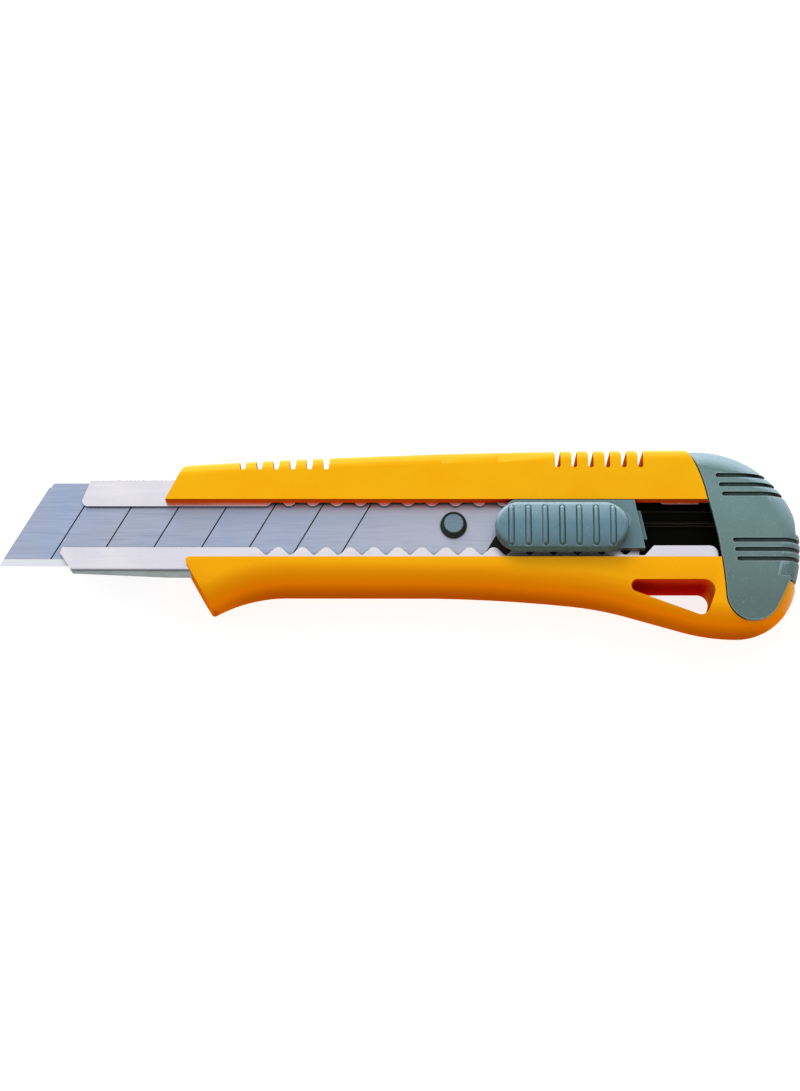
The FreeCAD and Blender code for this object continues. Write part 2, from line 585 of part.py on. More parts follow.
def finger_side(sketch, dims):
    """Arcs and straights that run into each other from the finger guard to the arm's tip."""
    def vector(x, y):
        return FreeCAD.Vector(x, y, 0)

    guard = vector(dims.guard_x.value, dims.guard_y.value)
    grip_y = dims.grip_y.value
    guard_radius = dims.guard_radius.value
    drop = guard_radius + guard.y - grip_y
    hollow = vector(guard.x + math.sqrt(guard_radius ** 2 - drop ** 2), grip_y)
    straight = vector(dims.grip_straight_x.value, grip_y)
    grip_radius = dims.grip_radius.value
    run = dims.belly_x.value - straight.x
    fall = math.sqrt(grip_radius ** 2 - run ** 2)
    belly = vector(dims.belly_x.value, grip_y - grip_radius + fall)
    to_centre = vector(-run / grip_radius, -fall / grip_radius)
    belly_centre = belly + to_centre * dims.belly_radius.value
    bottom = vector(dims.tail_x.value, -dims.half_width.value)
    tail_centre = bottom + vector(0, dims.tail_radius.value)
    between = tail_centre - belly_centre
    lean = math.acos((dims.belly_radius.value + dims.tail_radius.value) / between.Length)
    turn = math.atan2(between.y, between.x) + lean
    across = vector(math.cos(turn), math.sin(turn))
    slope_start = belly_centre + across * dims.belly_radius.value
    slope_end = tail_centre - across * dims.tail_radius.value
    arm_centre = bottom + vector(0, dims.arm_radius.value)
    arm_drop = arm_centre.y - dims.arm_tip_y.value
    tip = vector(arm_centre.x + math.sqrt(dims.arm_radius.value ** 2 - arm_drop ** 2), dims.arm_tip_y.value)

    def add(item):
        return sketch.addGeometry(item, False)

    guard_arc = add(arc_between(guard, hollow, -guard_radius)[0])
    grip = add(Part.LineSegment(hollow, straight))
    long_arc = add(arc_between(straight, belly, -grip_radius)[0])
    belly_arc = add(arc_between(belly, slope_start, -dims.belly_radius.value)[0])
    slope = add(Part.LineSegment(slope_start, slope_end))
    tail_arc = add(arc_between(slope_end, bottom, dims.tail_radius.value)[0])
    arm_arc = add(arc_between(bottom, tip, dims.arm_radius.value)[0])
    for edge, end, following, start in ((guard_arc, 1, grip, 1), (grip, 2, long_arc, 2),
                                        (long_arc, 1, belly_arc, 2), (belly_arc, 1, slope, 1),
                                        (slope, 2, tail_arc, 1), (tail_arc, 2, arm_arc, 1)):
        constrain(sketch, "Tangent", edge, end, following, start)
    for edge, radius in ((guard_arc, dims.guard_radius), (long_arc, dims.grip_radius),
                         (belly_arc, dims.belly_radius), (tail_arc, dims.tail_radius),
                         (arm_arc, dims.arm_radius)):
        constrain(sketch, "Radius", edge, radius)
    fix_point(sketch, guard_arc, 2, dims.guard_x, dims.guard_y)
    constrain(sketch, "Horizontal", grip)
    constrain(sketch, "DistanceY", -1, 1, grip, 1, dims.grip_y)
    constrain(sketch, "DistanceX", -1, 1, grip, 2, dims.grip_straight_x)
    constrain(sketch, "DistanceX", -1, 1, long_arc, 1, dims.belly_x)
    constrain(sketch, "DistanceX", -1, 1, tail_arc, 3, dims.tail_x)
    fix_point(sketch, tail_arc, 2, dims.tail_x, -dims.half_width)
    constrain(sketch, "DistanceY", -1, 1, arm_arc, 2, dims.arm_tip_y)
    return guard_arc, arm_arc, guard, tip


def handle_outline(sketch, dims):
    """The whole outline: finger side, arm, tongue, spine and the two noses."""
    guard_arc, arm_arc, guard, tip = finger_side(sketch, dims)
    corners = [(dims.arm_tip_x, dims.arm_inner_y),
               (dims.tongue_end_x, dims.arm_inner_y),
               (dims.tongue_end_x, dims.tongue_end_y),
               (dims.tongue_top_x, dims.tongue_top_y),
               (dims.parting_top_x + dims.tongue_rake, dims.tongue_top_y),
               (dims.parting_top_x, dims.half_width, dims.spine_radius),
               (dims.upper_nose_top_x, dims.spine_front_y),
               (dims.upper_nose_x, dims.slot_top),
               (dims.lower_nose_x, dims.slot_bottom)]
    places = [FreeCAD.Vector(corner[0].value, corner[1].value, 0) for corner in corners] + [guard]
    previous, last, start = arm_arc, 2, tip
    for number, place in enumerate(places):
        arrives_by_arc = number > 0 and len(corners[number - 1]) == 3
        if arrives_by_arc:
            radius = corners[number - 1][2]
            edge = sketch.addGeometry(arc_between(start, place, radius.value)[0], False)
            constrain(sketch, "Radius", edge, radius)
        else:
            edge = sketch.addGeometry(Part.LineSegment(start, place), False)
        constrain(sketch, "Coincident", previous, last, edge, 1)
        if number < len(corners):
            fix_point(sketch, edge, 2, corners[number][0], corners[number][1])
        previous, last, start = edge, 2, place
    constrain(sketch, "Coincident", previous, last, guard_arc, 2)


def make_handle(doc, dims):
    """One moulding: two bars beside the slot, a back, a lanyard eye and a tongue that carries the cap."""
    body = new_body(doc, "handle_body")
    thickness = dims.handle_thickness
    shape = new_sketch(body, "HandleOutline")
    handle_outline(shape, dims)
    pad(body, "Slab", shape, thickness)

    def on_faces(point):
        return near(point.z, 0) or near(point.z, thickness)

    round_edges(body, "GripRound", dims.grip_rounding,
                lambda point, way: on_faces(point) and point.y < dims.grip_y.value + OVERLAP.value
                and point.x > dims.guard_x.value + OVERLAP.value)
    round_edges(body, "SpineRound", dims.spine_rounding,
                lambda point, way: on_faces(point) and point.y > dims.spine_front_y.value + SLIVER.value
                and point.x < dims.parting_top_x.value - CLEAR.value)

    bay = new_sketch(body, "ChannelBay", "YZ_Plane", -BEYOND)
    low = dims.channel_low - dims.channel_play
    high = dims.channel_high + dims.channel_play
    under = dims.channel_under - dims.channel_play
    over = dims.flange_top + dims.channel_play
    outline(bay, [(low, under), (high, under), (high, over), (dims.slot_top, over),
                  (dims.slot_top, thickness + CLEAR), (dims.slot_bottom, thickness + CLEAR),
                  (dims.slot_bottom, over), (low, over)])
    pocket(body, "ChannelCut", bay, BEYOND * 2, upwards=True)

    above = dims.half_width + CLEAR
    for name, level, upwards in (("Front", thickness, False), ("Back", size_of(0.0), True)):
        step = new_sketch(body, f"Tongue{name}", "XY_Plane", level)
        front = parting_line(dims, size_of(0.0))
        outline(step, [(dims.parting_top_x, above), *front[:2],
                       (dims.lobe_start_x, dims.lobe_start_y, dims.lobe_radius),
                       (dims.arm_step_x, dims.arm_step_y), (dims.arm_step_x, -above),
                       (BEYOND, -above), (BEYOND, above)])
        pocket(body, f"TongueStep{name}", step, dims.tongue_inset, upwards)

    eye = new_sketch(body, "EyeOutline", "XY_Plane", thickness)
    left = (dims.eye_left_x, dims.eye_top_y)
    heel = (dims.eye_low_x, dims.eye_low_y)
    top = (dims.eye_right_x, dims.eye_top_y)
    outline(eye, [*rounded(top, left, heel, dims.eye_left_radius),
                  *rounded(left, heel, top, dims.eye_low_radius),
                  *rounded(heel, top, left, dims.eye_top_radius)])
    pocket(body, "Eye", eye, thickness)

    notch_spine(body, dims)
    trim_corner(body, "Guard", dims, (dims.lower_nose_x, dims.slot_bottom), (dims.guard_x, dims.guard_y),
                (dims.guard_x + dims.guard_hollow_run, dims.guard_y + dims.guard_hollow_rise),
                dims.guard_rounding)
    trim_corner(body, "Chin", dims, (dims.guard_x, dims.guard_y), (dims.lower_nose_x, dims.slot_bottom),
                (dims.front_notch_x, dims.slot_bottom), dims.chin_rounding, dims.flange_under)
    trim_corner(body, "Nose", dims, (dims.upper_nose_x, dims.slot_top),
                (dims.upper_nose_top_x, dims.spine_front_y),
                (dims.front_notch_x, dims.spine_front_y + dims.spine_front_rise), dims.nose_rounding)
    trim_corner(body, "Arm", dims, (dims.arm_tip_x + dims.arm_tip_slant, dims.arm_tip_y),
                (dims.arm_tip_x, dims.arm_inner_y), (dims.tongue_end_x, dims.arm_inner_y), dims.arm_rounding)
    return body


def trim_corner(body, name, dims, before, corner, after, radius, floor=-CLEAR):
    """Round a corner of the outline by an upright cut, down to the floor's height."""
    start, finish = rounded(before, corner, after, radius)
    beyond = [size_of(corner[axis]).value * 2 - (start[axis] + finish[axis]) / 2 for axis in (0, 1)]
    sketch = new_sketch(body, f"{name}Corner", "XY_Plane", dims.handle_thickness + CLEAR)
    outline(sketch, [start, finish, beyond])
    pocket(body, f"{name}CornerCut", sketch, dims.handle_thickness + CLEAR - floor)


def notch_spine(body, dims):
    """Two rows of thumb notches across the spine: short upright ones in front, deep raked ones behind."""
    thickness = dims.handle_thickness
    above = dims.half_width + CLEAR
    front = new_sketch(body, "FrontNotch", "XY_Plane", thickness)
    half = dims.front_notch_width / 2
    bottom = dims.spine_front_y + dims.front_notch_rise - dims.front_notch_depth
    flare, root, taper = dims.front_notch_flare, dims.front_notch_root, dims.front_notch_taper
    left, right = dims.front_notch_x - half, dims.front_notch_x + half
    outline(front, [(left - flare, above), (left, bottom + root), (left + taper, bottom),
                    (right - taper, bottom), (right, bottom + root), (right + flare, above)])
    first = pocket(body, "FrontNotchCut", front, thickness)
    repeat(body, "FrontNotches", first, front, dims.front_notch_pitch, dims.notch_count)

    rear = new_sketch(body, "RearNotch", "XY_Plane", thickness)
    bottom = dims.half_width - dims.rear_notch_depth
    wall = dims.rear_notch_x
    front = wall - dims.rear_notch_width
    flare = dims.rear_notch_flare
    lip = dims.rear_notch_lip
    corner = dims.rear_notch_corner
    outline(rear, [(wall + lip, above), (front - flare, above),
                   (front - flare, dims.half_width, -flare * dims.flare_bow),
                   (front, dims.half_width - flare * dims.flare_fall), (front, bottom + corner),
                   (front + corner, bottom), (wall - corner, bottom), (wall, bottom + corner),
                   (wall, dims.half_width - lip * dims.lip_fall),
                   (wall + lip, dims.half_width)])
    first = pocket(body, "RearNotchCut", rear, thickness)
    repeat(body, "RearNotches", first, rear, dims.rear_notch_pitch, dims.notch_count)


# ---------------------------------------------------------------- end cap

def cap_corners(dims, inset):
    """A block longer than the cap; inset draws its rear side in by the depth of the grip grooves."""
    heel_run = dims.cap_heel_x - dims.cap_end_x + dims.cap_heel_radius
    back_run = dims.cap_shoulder_x - dims.cap_end_x + dims.cap_back_radius
    back_rise = dims.cap_shoulder_y - dims.cap_end_y
    return [(dims.cap_blank_x, dims.half_width - inset),
            (dims.cap_blank_x, dims.cap_heel_y),
            (dims.cap_heel_x - inset * dims.cap_heel_radius / heel_run, dims.cap_heel_y,
             dims.cap_heel_radius - inset),
            (dims.cap_end_x - inset, dims.cap_end_y, dims.cap_back_radius - inset),
            (dims.cap_shoulder_x - inset * back_run / dims.cap_back_radius,
             dims.cap_shoulder_y - inset * back_rise / dims.cap_back_radius,
             dims.cap_shoulder_radius - inset),
            (dims.spine_rear_x, dims.half_width - inset)]


def lobe_corners(dims):
    """The lobe at the bottom of the cap's cheeks."""
    play = dims.cap_play
    root = dims.cap_heel_y + OVERLAP
    front = dims.lobe_start_x - CLEAR
    return [(dims.lobe_start_x + play, dims.lobe_start_y, dims.lobe_radius),
            (dims.lobe_end_x + play, dims.lobe_end_y),
            (dims.lobe_top_x, dims.lobe_top_y),
            (dims.lobe_top_x, root), (front, root), (front, dims.lobe_start_y)]


def outer_side(dims, level):
    """Picks the edges of the cap's rear side at one height, from the spine round to the heel."""
    band = dims.cap_edge_band.value

    def wanted(point, way):
        return near(point.z, level) and abs(way.z) < 0.01 and (
            point.y > dims.half_width.value - band or point.x > dims.cap_heel_x.value - band
            or (point.x > dims.parting_knee_x.value and point.y > dims.cap_shoulder_y.value))
    return wanted


def cap_block(doc, dims, label, inset):
    """The cap's outer form, drawn in by inset on its faces and rear side, with its rounding."""
    body = new_body(doc, label)
    sketch = new_sketch(body, f"{label}_outline", "XY_Plane", inset)
    outline(sketch, cap_corners(dims, inset))
    depth = dims.handle_thickness - inset * 2
    pad(body, f"{label}_pad", sketch, depth)
    for name, level in (("Face", dims.handle_thickness - inset), ("Back", inset)):
        round_edges(body, f"{label}_{name}Round", dims.cap_rounding - inset, outer_side(dims, level))
    lobe = new_sketch(body, f"{label}_lobe", "XY_Plane", inset)
    outline(lobe, lobe_corners(dims))
    pad(body, f"{label}_lobe_pad", lobe, depth)
    return body


def cut_grooves(body, dims):
    """Grip grooves that run over the face, round the rear side and over the back."""
    upper = ("Upper", dims.upper_groove_x, dims.upper_groove_y, dims.upper_groove_step)
    lower = ("Lower", dims.lower_groove_x, dims.lower_groove_y, dims.lower_groove_step)
    for group, start_x, start_y, step in (upper, lower):
        for number in range(int(dims.cap_groove_count.value)):
            sketch = new_sketch(body, f"{group}Groove{number}", "XY_Plane", dims.handle_thickness + CLEAR)
            lying_stadium(sketch, start_x + step * number, start_y - dims.cap_groove_pitch * number,
                          dims.cap_groove_width, dims.cap_end_x + CLEAR)
            pocket(body, f"{group}GrooveCut{number}", sketch, dims.handle_thickness + CLEAR * 2)


def make_cap(doc, dims):
    """A hollow cap whose two cheeks straddle the handle's tongue, with grip grooves and a snapping slit."""
    skin = cap_block(doc, dims, "cap_skin", size_of(0.0))
    cut_grooves(skin, dims)
    body = cap_block(doc, dims, "end_cap", dims.cap_groove_depth)
    joined = body.newObject("PartDesign::Boolean", "SkinJoined")
    joined.Type = "Fuse"
    joined.setObjects([skin])
    body.Tip = joined
    doc.recompute()

    front = new_sketch(body, "PartingLine", "XY_Plane", dims.handle_thickness + CLEAR)
    blank = dims.cap_blank_x - CLEAR
    spine, knee, lobe = parting_line(dims, dims.cap_play)
    outline(front, [(dims.parting_top_x, dims.half_width + CLEAR), spine, knee, (lobe[0], lobe[1]),
                    (blank, dims.lobe_start_y), (blank, dims.half_width + CLEAR)])
    pocket(body, "PartingCut", front, dims.handle_thickness + CLEAR * 2)

    cheek = dims.tongue_inset - dims.cheek_play
    cavity = new_sketch(body, "Cavity", "XY_Plane", cheek)
    blank_low = -dims.half_width - CLEAR
    end = dims.tongue_end_x + dims.cap_grip_play
    low = dims.arm_inner_y + dims.cap_grip_play
    top = dims.tongue_top_y + dims.cap_grip_play
    outline(cavity, [(blank, blank_low), (BEYOND, blank_low), (BEYOND, low), (end, low),
                     (end, dims.tongue_end_y + dims.cap_grip_play),
                     (dims.tongue_top_x + dims.cap_grip_play, top), (blank, top)])
    pocket(body, "CavityCut", cavity, dims.handle_thickness - cheek * 2, upwards=True)

    notch = new_sketch(body, "EndNotch", "XY_Plane", dims.handle_thickness + CLEAR)
    rectangle(notch, dims.cap_end_x - dims.cap_notch_depth, dims.cap_notch_low,
              dims.cap_end_x + CLEAR, dims.cap_notch_high)
    pocket(body, "EndNotchCut", notch, dims.handle_thickness + CLEAR * 2)
    slit_middle = (dims.cap_notch_low + dims.cap_notch_high) / 2
    slit = new_sketch(body, "SnapperSlit", "YZ_Plane", dims.cap_end_x + CLEAR)
    rectangle(slit, slit_middle - dims.snapper_length / 2, dims.handle_thickness / 2 - dims.snapper_width / 2,
              slit_middle + dims.snapper_length / 2, dims.handle_thickness / 2 + dims.snapper_width / 2)
    pocket(body, "SnapperSlitCut", slit, dims.snapper_depth + CLEAR)
    return body


# ---------------------------------------------------------------- channel and guide

def make_channel(doc, dims):
    """A folded stainless channel whose two flanges are cut in matching waves."""
    body = new_body(doc, "blade_channel")
    low, high = dims.channel_low, dims.channel_high
    under, floor = dims.channel_under, dims.channel_floor
    roof, top = dims.flange_under, dims.flange_top
    section = new_sketch(body, "Section", "YZ_Plane", dims.channel_front_x - CLEAR)
    outline(section, [(low, under), (high, under), (high, top), (dims.flange_slit_high, top),
                      (dims.flange_slit_high, roof), (high - dims.sheet, roof), (high - dims.sheet, floor),
                      (low + dims.sheet, floor), (low + dims.sheet, roof), (dims.rear_land_low, roof),
                      (dims.rear_land_low, top), (low, top)])
    pad(body, "Fold", section, dims.channel_rear_x - dims.channel_front_x + CLEAR * 2)
    round_edges(body, "OuterBends", dims.bend_radius,
                lambda point, way: (near(point.y, low) or near(point.y, high))
                and (near(point.z, under) or near(point.z, top)) and abs(way.x) > 0.99)

    front = new_sketch(body, "FrontEnd", "XY_Plane", top + CLEAR)
    nose = dims.channel_front_x
    ahead = nose - CLEAR * 2
    outline(front, [(ahead, low - CLEAR), (nose + dims.chin_cut, low - CLEAR), (nose + dims.chin_cut, low),
                    (nose, dims.chin_y), (nose + dims.chin_run, dims.flange_slit_low),
                    (dims.brow_x + dims.brow_round, dims.flange_slit_high, -dims.brow_round),
                    (dims.brow_x, dims.brow_y), (dims.brow_top_x, high),
                    (dims.brow_top_x, high + CLEAR), (ahead, high + CLEAR)])
    pocket(body, "FrontCut", front, dims.channel_height + CLEAR * 2)
    rise_keel(body, dims)
    rear = new_sketch(body, "RearEnd", "XY_Plane", top + CLEAR)
    end = dims.channel_rear_x
    corner = dims.flange_corner
    behind = end + CLEAR * 2
    outline(rear, [(behind, low - CLEAR), (end, low - CLEAR), (end, dims.rear_land_low - corner, corner),
                   (end - corner, dims.rear_land_low), (end - dims.rear_lean, dims.flange_slit_high),
                   (end - dims.rear_far_lean, high + CLEAR), (behind, high + CLEAR)])
    pocket(body, "RearCut", rear, dims.channel_height + CLEAR * 2)

    over = top + SLIVER
    through = dims.sheet + SLIVER * 2
    front_land = new_sketch(body, "LowerFrontLand", "XY_Plane", over)
    rectangle(front_land, ahead, dims.flange_slit_low,
              dims.release_front_x + SLIVER, dims.rear_land_low + OVERLAP)
    pocket(body, "LowerFrontLandCut", front_land, through)
    lower = (1, "Lower", dims.flange_slit_low, dims.wave_first_x)
    upper = (-1, "Upper", dims.flange_slit_high, dims.wave_first_x + dims.wave_shift)
    for side, name, edge, first in (lower, upper):
        wave = new_sketch(body, f"{name}Wave", "XY_Plane", over)
        outline(wave, wave_gap(dims, first, edge, side))
        cut = pocket(body, f"{name}WaveCut", wave, through)
        repeat(body, f"{name}Waves", cut, wave, dims.wave_pitch, dims.wave_count)
    release = new_sketch(body, "ReleaseNotches", "XY_Plane", over)
    land_low = dims.rear_land_low
    slit_high = dims.flange_slit_high
    slope_end = dims.release_rear_x + dims.release_rake
    outline(release, [(dims.release_front_x, land_low + OVERLAP), (dims.release_front_x, dims.release_low_y),
                      (dims.release_rear_x, dims.release_low_y), (slope_end, land_low),
                      (slope_end + OVERLAP, land_low + OVERLAP)])
    start = dims.release_front_x - CLEAR
    land_start = dims.rear_land_x
    outline(release, [(start, slit_high - SLIVER), (land_start, slit_high - SLIVER),
                      (land_start, slit_high + OVERLAP), (land_start - OVERLAP * 2, dims.release_high_y),
                      (start, dims.release_high_y)])
    pocket(body, "ReleaseCut", release, through)
    land = new_sketch(body, "UpperRearLand", "XY_Plane", over)
    rectangle(land, land_start - SLIVER, slit_high - OVERLAP, behind, slit_high + dims.rear_land_rise)
    pocket(body, "UpperRearLandCut", land, through)
    return body


def rise_keel(body, dims):
    """Cut the underside so that it rises towards the front; the channel and its guide strip share the cut."""
    low = dims.channel_low - CLEAR
    sketch = new_sketch(body, f"{body.Label}_keel", "XZ_Plane", -low)
    far = dims.channel_front_x - CLEAR
    outline(sketch, [(far, dims.channel_under - CLEAR), (dims.keel_rear_x, dims.channel_under - CLEAR),
                     (dims.keel_rear_x, dims.channel_under), (far, dims.channel_under + dims.keel_front)])
    pocket(body, f"{body.Label}_keel_cut", sketch, dims.channel_width + CLEAR * 2)


def wave_gap(dims, x, edge, side):
    """One gap between two round crests of a flange; side is 1 for the lower flange, -1 for the upper."""
    half = dims.wave_pitch / 2
    crest, valley = dims.wave_crest_radius, dims.wave_valley_radius
    slope_x, slope_y = dims.wave_slope_x, -dims.wave_slope_y
    foot_x, foot_y = dims.wave_foot_x, -dims.wave_foot_y
    past = SLIVER * 2

    def at(dx, dy, radius=None):
        place = (x + dx, edge + dy * side)
        if radius is None:
            return place
        return (*place, radius * side)

    level = size_of(0.0)
    return [at(-half, level, -crest), at(-slope_x, slope_y), at(-foot_x, foot_y, valley),
            at(foot_x, foot_y), at(slope_x, slope_y, -crest), at(half, level),
            at(half, past), at(-half, past)]


def make_guide(doc, dims):
    """The strip on the channel's floor: a guide rail and a raised rest under the front of the blade."""
    body = new_body(doc, "guide_rail")
    width = dims.carrier_width - dims.strip_margin * 2
    low, high = dims.blade_axis_y - width / 2, dims.blade_axis_y + width / 2
    strip = new_sketch(body, "Strip", "XY_Plane", dims.channel_floor)
    rectangle(strip, dims.rail_front_x, low, dims.rail_rear_x, high)
    pad(body, "StripPad", strip, dims.rail_base)
    rail = new_sketch(body, "Rail", "XY_Plane", dims.channel_floor)
    rectangle(rail, dims.rail_front_x + dims.rail_setback, dims.rail_middle - dims.rail_width / 2,
              dims.rail_rear_x, dims.rail_middle + dims.rail_width / 2)
    pad(body, "RailPad", rail, dims.rail_height)
    rest = new_sketch(body, "BladeRest", "XY_Plane", dims.channel_floor)
    rectangle(rest, dims.rail_front_x, low, dims.rail_front_x + dims.rest_length, high)
    pad(body, "BladeRestPad", rest, dims.carrier_top - dims.channel_floor)
    rise_keel(body, dims)
    return body


# ---------------------------------------------------------------- blade

def make_blade(doc, dims):
    """A segmented blade: score lines on its upper side, a bevel ground on both, and a hole for the peg."""
    body = new_body(doc, "blade")
    low = dims.blade_axis_y - dims.blade_width / 2
    high = dims.blade_axis_y + dims.blade_width / 2
    tip = -dims.cap_end_x
    rake = dims.blade_rake
    lean = dims.blade_width * rake
    break_y = high - dims.tip_break_drop
    break_x = tip + (dims.blade_width - dims.tip_break_drop) * rake
    step_x = break_x + dims.tip_break_step
    plan = new_sketch(body, "BladeOutline", "XY_Plane", dims.blade_under)
    outline(plan, [(tip, low), (tip + dims.blade_length, low), (tip + dims.blade_length + lean, high),
                   (step_x + dims.tip_break_run, high), (step_x, break_y), (break_x, break_y)])
    pad(body, "BladePad", plan, dims.blade_thickness)

    bevel = new_sketch(body, "Bevel", "YZ_Plane", BEYOND)
    outer = low - dims.bevel_width / 2
    inner = low + dims.bevel_width
    drop = dims.bevel_drop * dims.bevel_reach
    outline(bevel, [(outer, dims.blade_top + SLIVER), (outer, dims.blade_top - drop),
                    (inner, dims.blade_top), (inner, dims.blade_top + SLIVER)])
    outline(bevel, [(outer, dims.blade_under - SLIVER), (inner, dims.blade_under - SLIVER),
                    (inner, dims.blade_under), (outer, dims.blade_under + drop)])
    pocket(body, "BevelCut", bevel, BEYOND * 2)

    score = new_sketch(body, "Score", "XY_Plane", dims.blade_top)
    first = tip + dims.segment_pitch - dims.score_shift
    start_x = first + rake * dims.bevel_width
    finish_x = first + lean + rake
    outline(score, [(start_x, low + dims.bevel_width), (start_x + dims.score_width, low + dims.bevel_width),
                    (finish_x + dims.score_width, high + 1), (finish_x, high + 1)])
    cut = pocket(body, "ScoreCut", score, dims.score_depth)
    repeat(body, "Scores", cut, score, dims.segment_pitch, dims.segment_count)

    hole = new_sketch(body, "PegHole", "XY_Plane", dims.blade_top + 1)
    circle(hole, dims.peg_x, dims.peg_y, dims.peg_radius + dims.peg_hole_play)
    pocket(body, "PegHoleCut", hole, dims.blade_thickness + CLEAR)
    return body


# ---------------------------------------------------------------- slider

def make_carrier(doc, dims):
    """The tray under the blade's tail, grooved for the guide rail, with the peg that carries the blade."""
    body = new_body(doc, "blade_carrier")
    low = dims.blade_axis_y - dims.carrier_width / 2
    high = dims.blade_axis_y + dims.carrier_width / 2
    tray = new_sketch(body, "Tray", "XY_Plane", dims.carrier_under)
    rectangle(tray, dims.carrier_front_x, low, dims.carrier_rear_x, high)
    pad(body, "TrayPad", tray, dims.carrier_thickness)
    step = new_sketch(body, "Step", "XY_Plane", dims.carrier_top)
    tail = dims.blade_length - dims.cap_end_x + dims.tail_gap
    blade_low = dims.blade_axis_y - dims.blade_width / 2
    outline(step, [(tail + (low - blade_low) * dims.blade_rake, low), (dims.carrier_rear_x, low),
                   (dims.carrier_rear_x, high), (tail + (high - blade_low) * dims.blade_rake, high)])
    pad(body, "StepPad", step, dims.carrier_lift)
    peg = new_sketch(body, "Peg", "XY_Plane", dims.carrier_top)
    circle(peg, dims.peg_x, dims.peg_y, dims.peg_radius)
    pad(body, "PegPad", peg, dims.peg_rise)
    peg_top = dims.carrier_top + dims.peg_rise
    chamfer_edges(body, "PegTop", dims.peg_chamfer, lambda point, way: near(point.z, peg_top))
    groove = new_sketch(body, "RailGroove", "XY_Plane", dims.carrier_under)
    half = dims.rail_width / 2 + dims.rail_play
    rectangle(groove, dims.carrier_front_x - 1, dims.rail_middle - half,
              dims.carrier_rear_x + 1, dims.rail_middle + half)
    groove_depth = dims.channel_floor + dims.rail_height + dims.rail_play - dims.carrier_under
    pocket(body, "RailGrooveCut", groove, groove_depth, upwards=True)
    holes = new_sketch(body, "RivetHoles", "XY_Plane", dims.carrier_step)
    for x in (dims.rivet_front_x, dims.rivet_rear_x):
        circle(holes, x, dims.blade_axis_y, dims.rivet_radius)
    pocket(body, "RivetHoleCut", holes, dims.carrier_lift + SLIVER * 2)
    return body


def leg_places(dims):
    """Where the button's two legs start."""
    return (dims.leg_front_x, dims.leg_rear_x)


def make_plate(doc, dims):
    """The plate that slides in the handle's slot, with a neck that passes between the flanges."""
    body = new_body(doc, "slider_plate")
    plan = new_sketch(body, "PlateOutline", "XY_Plane", dims.plate_under)
    shoulder = dims.plate_front_x + dims.plate_nose_length
    outline(plan, [(shoulder, dims.plate_high, dims.plate_nose_radius), (shoulder, dims.plate_low),
                   (dims.plate_rear_x + dims.plate_rake, dims.plate_low),
                   (dims.plate_rear_x, dims.plate_high)])
    pad(body, "PlatePad", plan, dims.plate_thickness)
    neck = new_sketch(body, "Neck", "XY_Plane", dims.carrier_step)
    rectangle(neck, dims.neck_front_x, dims.neck_low, dims.window_front_x - SLIVER, dims.neck_high)
    outline(neck, [(dims.window_rear_x + SLIVER, dims.neck_low),
                   (dims.neck_rear_x + dims.neck_rake, dims.neck_low),
                   (dims.neck_rear_x, dims.neck_high), (dims.window_rear_x + SLIVER, dims.neck_high)])
    pad(body, "NeckPad", neck, dims.flange_top + dims.neck_step - dims.carrier_step)
    window = new_sketch(body, "SpringWindow", "XY_Plane", dims.plate_top + CLEAR)
    half = dims.spring_width / 2 + dims.spring_play
    rectangle(window, dims.window_front_x, dims.middle_y - half, dims.window_rear_x, dims.middle_y + half)
    for x in leg_places(dims):
        rectangle(window, x - dims.leg_play, dims.middle_y - dims.leg_width / 2 - dims.leg_play,
                  x + dims.leg_length + dims.leg_play, dims.middle_y + dims.leg_width / 2 + dims.leg_play)
    for x in (dims.rivet_front_x, dims.rivet_rear_x):
        circle(window, x, dims.blade_axis_y, dims.rivet_radius)
    pocket(body, "WindowCut", window, dims.plate_top - dims.carrier_step + CLEAR * 2)
    seats = new_sketch(body, "RivetSeats", "XY_Plane", dims.plate_top)
    for x in (dims.rivet_front_x, dims.rivet_rear_x):
        circle(seats, x, dims.blade_axis_y, dims.rivet_head_radius)
    pocket(body, "RivetSeatCut", seats, dims.rivet_head)
    return body


def make_rivets(doc, dims):
    """Two flush rivets that hold the plate and the carrier together."""
    bodies = []
    for number, x in enumerate((dims.rivet_front_x, dims.rivet_rear_x)):
        body = new_body(doc, f"rivet_{number + 1}")
        shank = new_sketch(body, f"Shank{number}", "XY_Plane", dims.carrier_top + dims.rivet_play)
        circle(shank, x, dims.blade_axis_y, dims.rivet_radius)
        pad(body, f"ShankPad{number}", shank, dims.plate_top - dims.carrier_top - dims.rivet_play)
        head = new_sketch(body, f"Head{number}", "XY_Plane", dims.plate_top - dims.rivet_head)
        circle(head, x, dims.blade_axis_y, dims.rivet_head_radius)
        pad(body, f"HeadPad{number}", head, dims.rivet_head)
        bodies.append(body)
    pair = doc.addObject("Part::Compound", "slider_rivets")
    pair.Label = "slider_rivets"
    pair.Links = bodies
    return pair


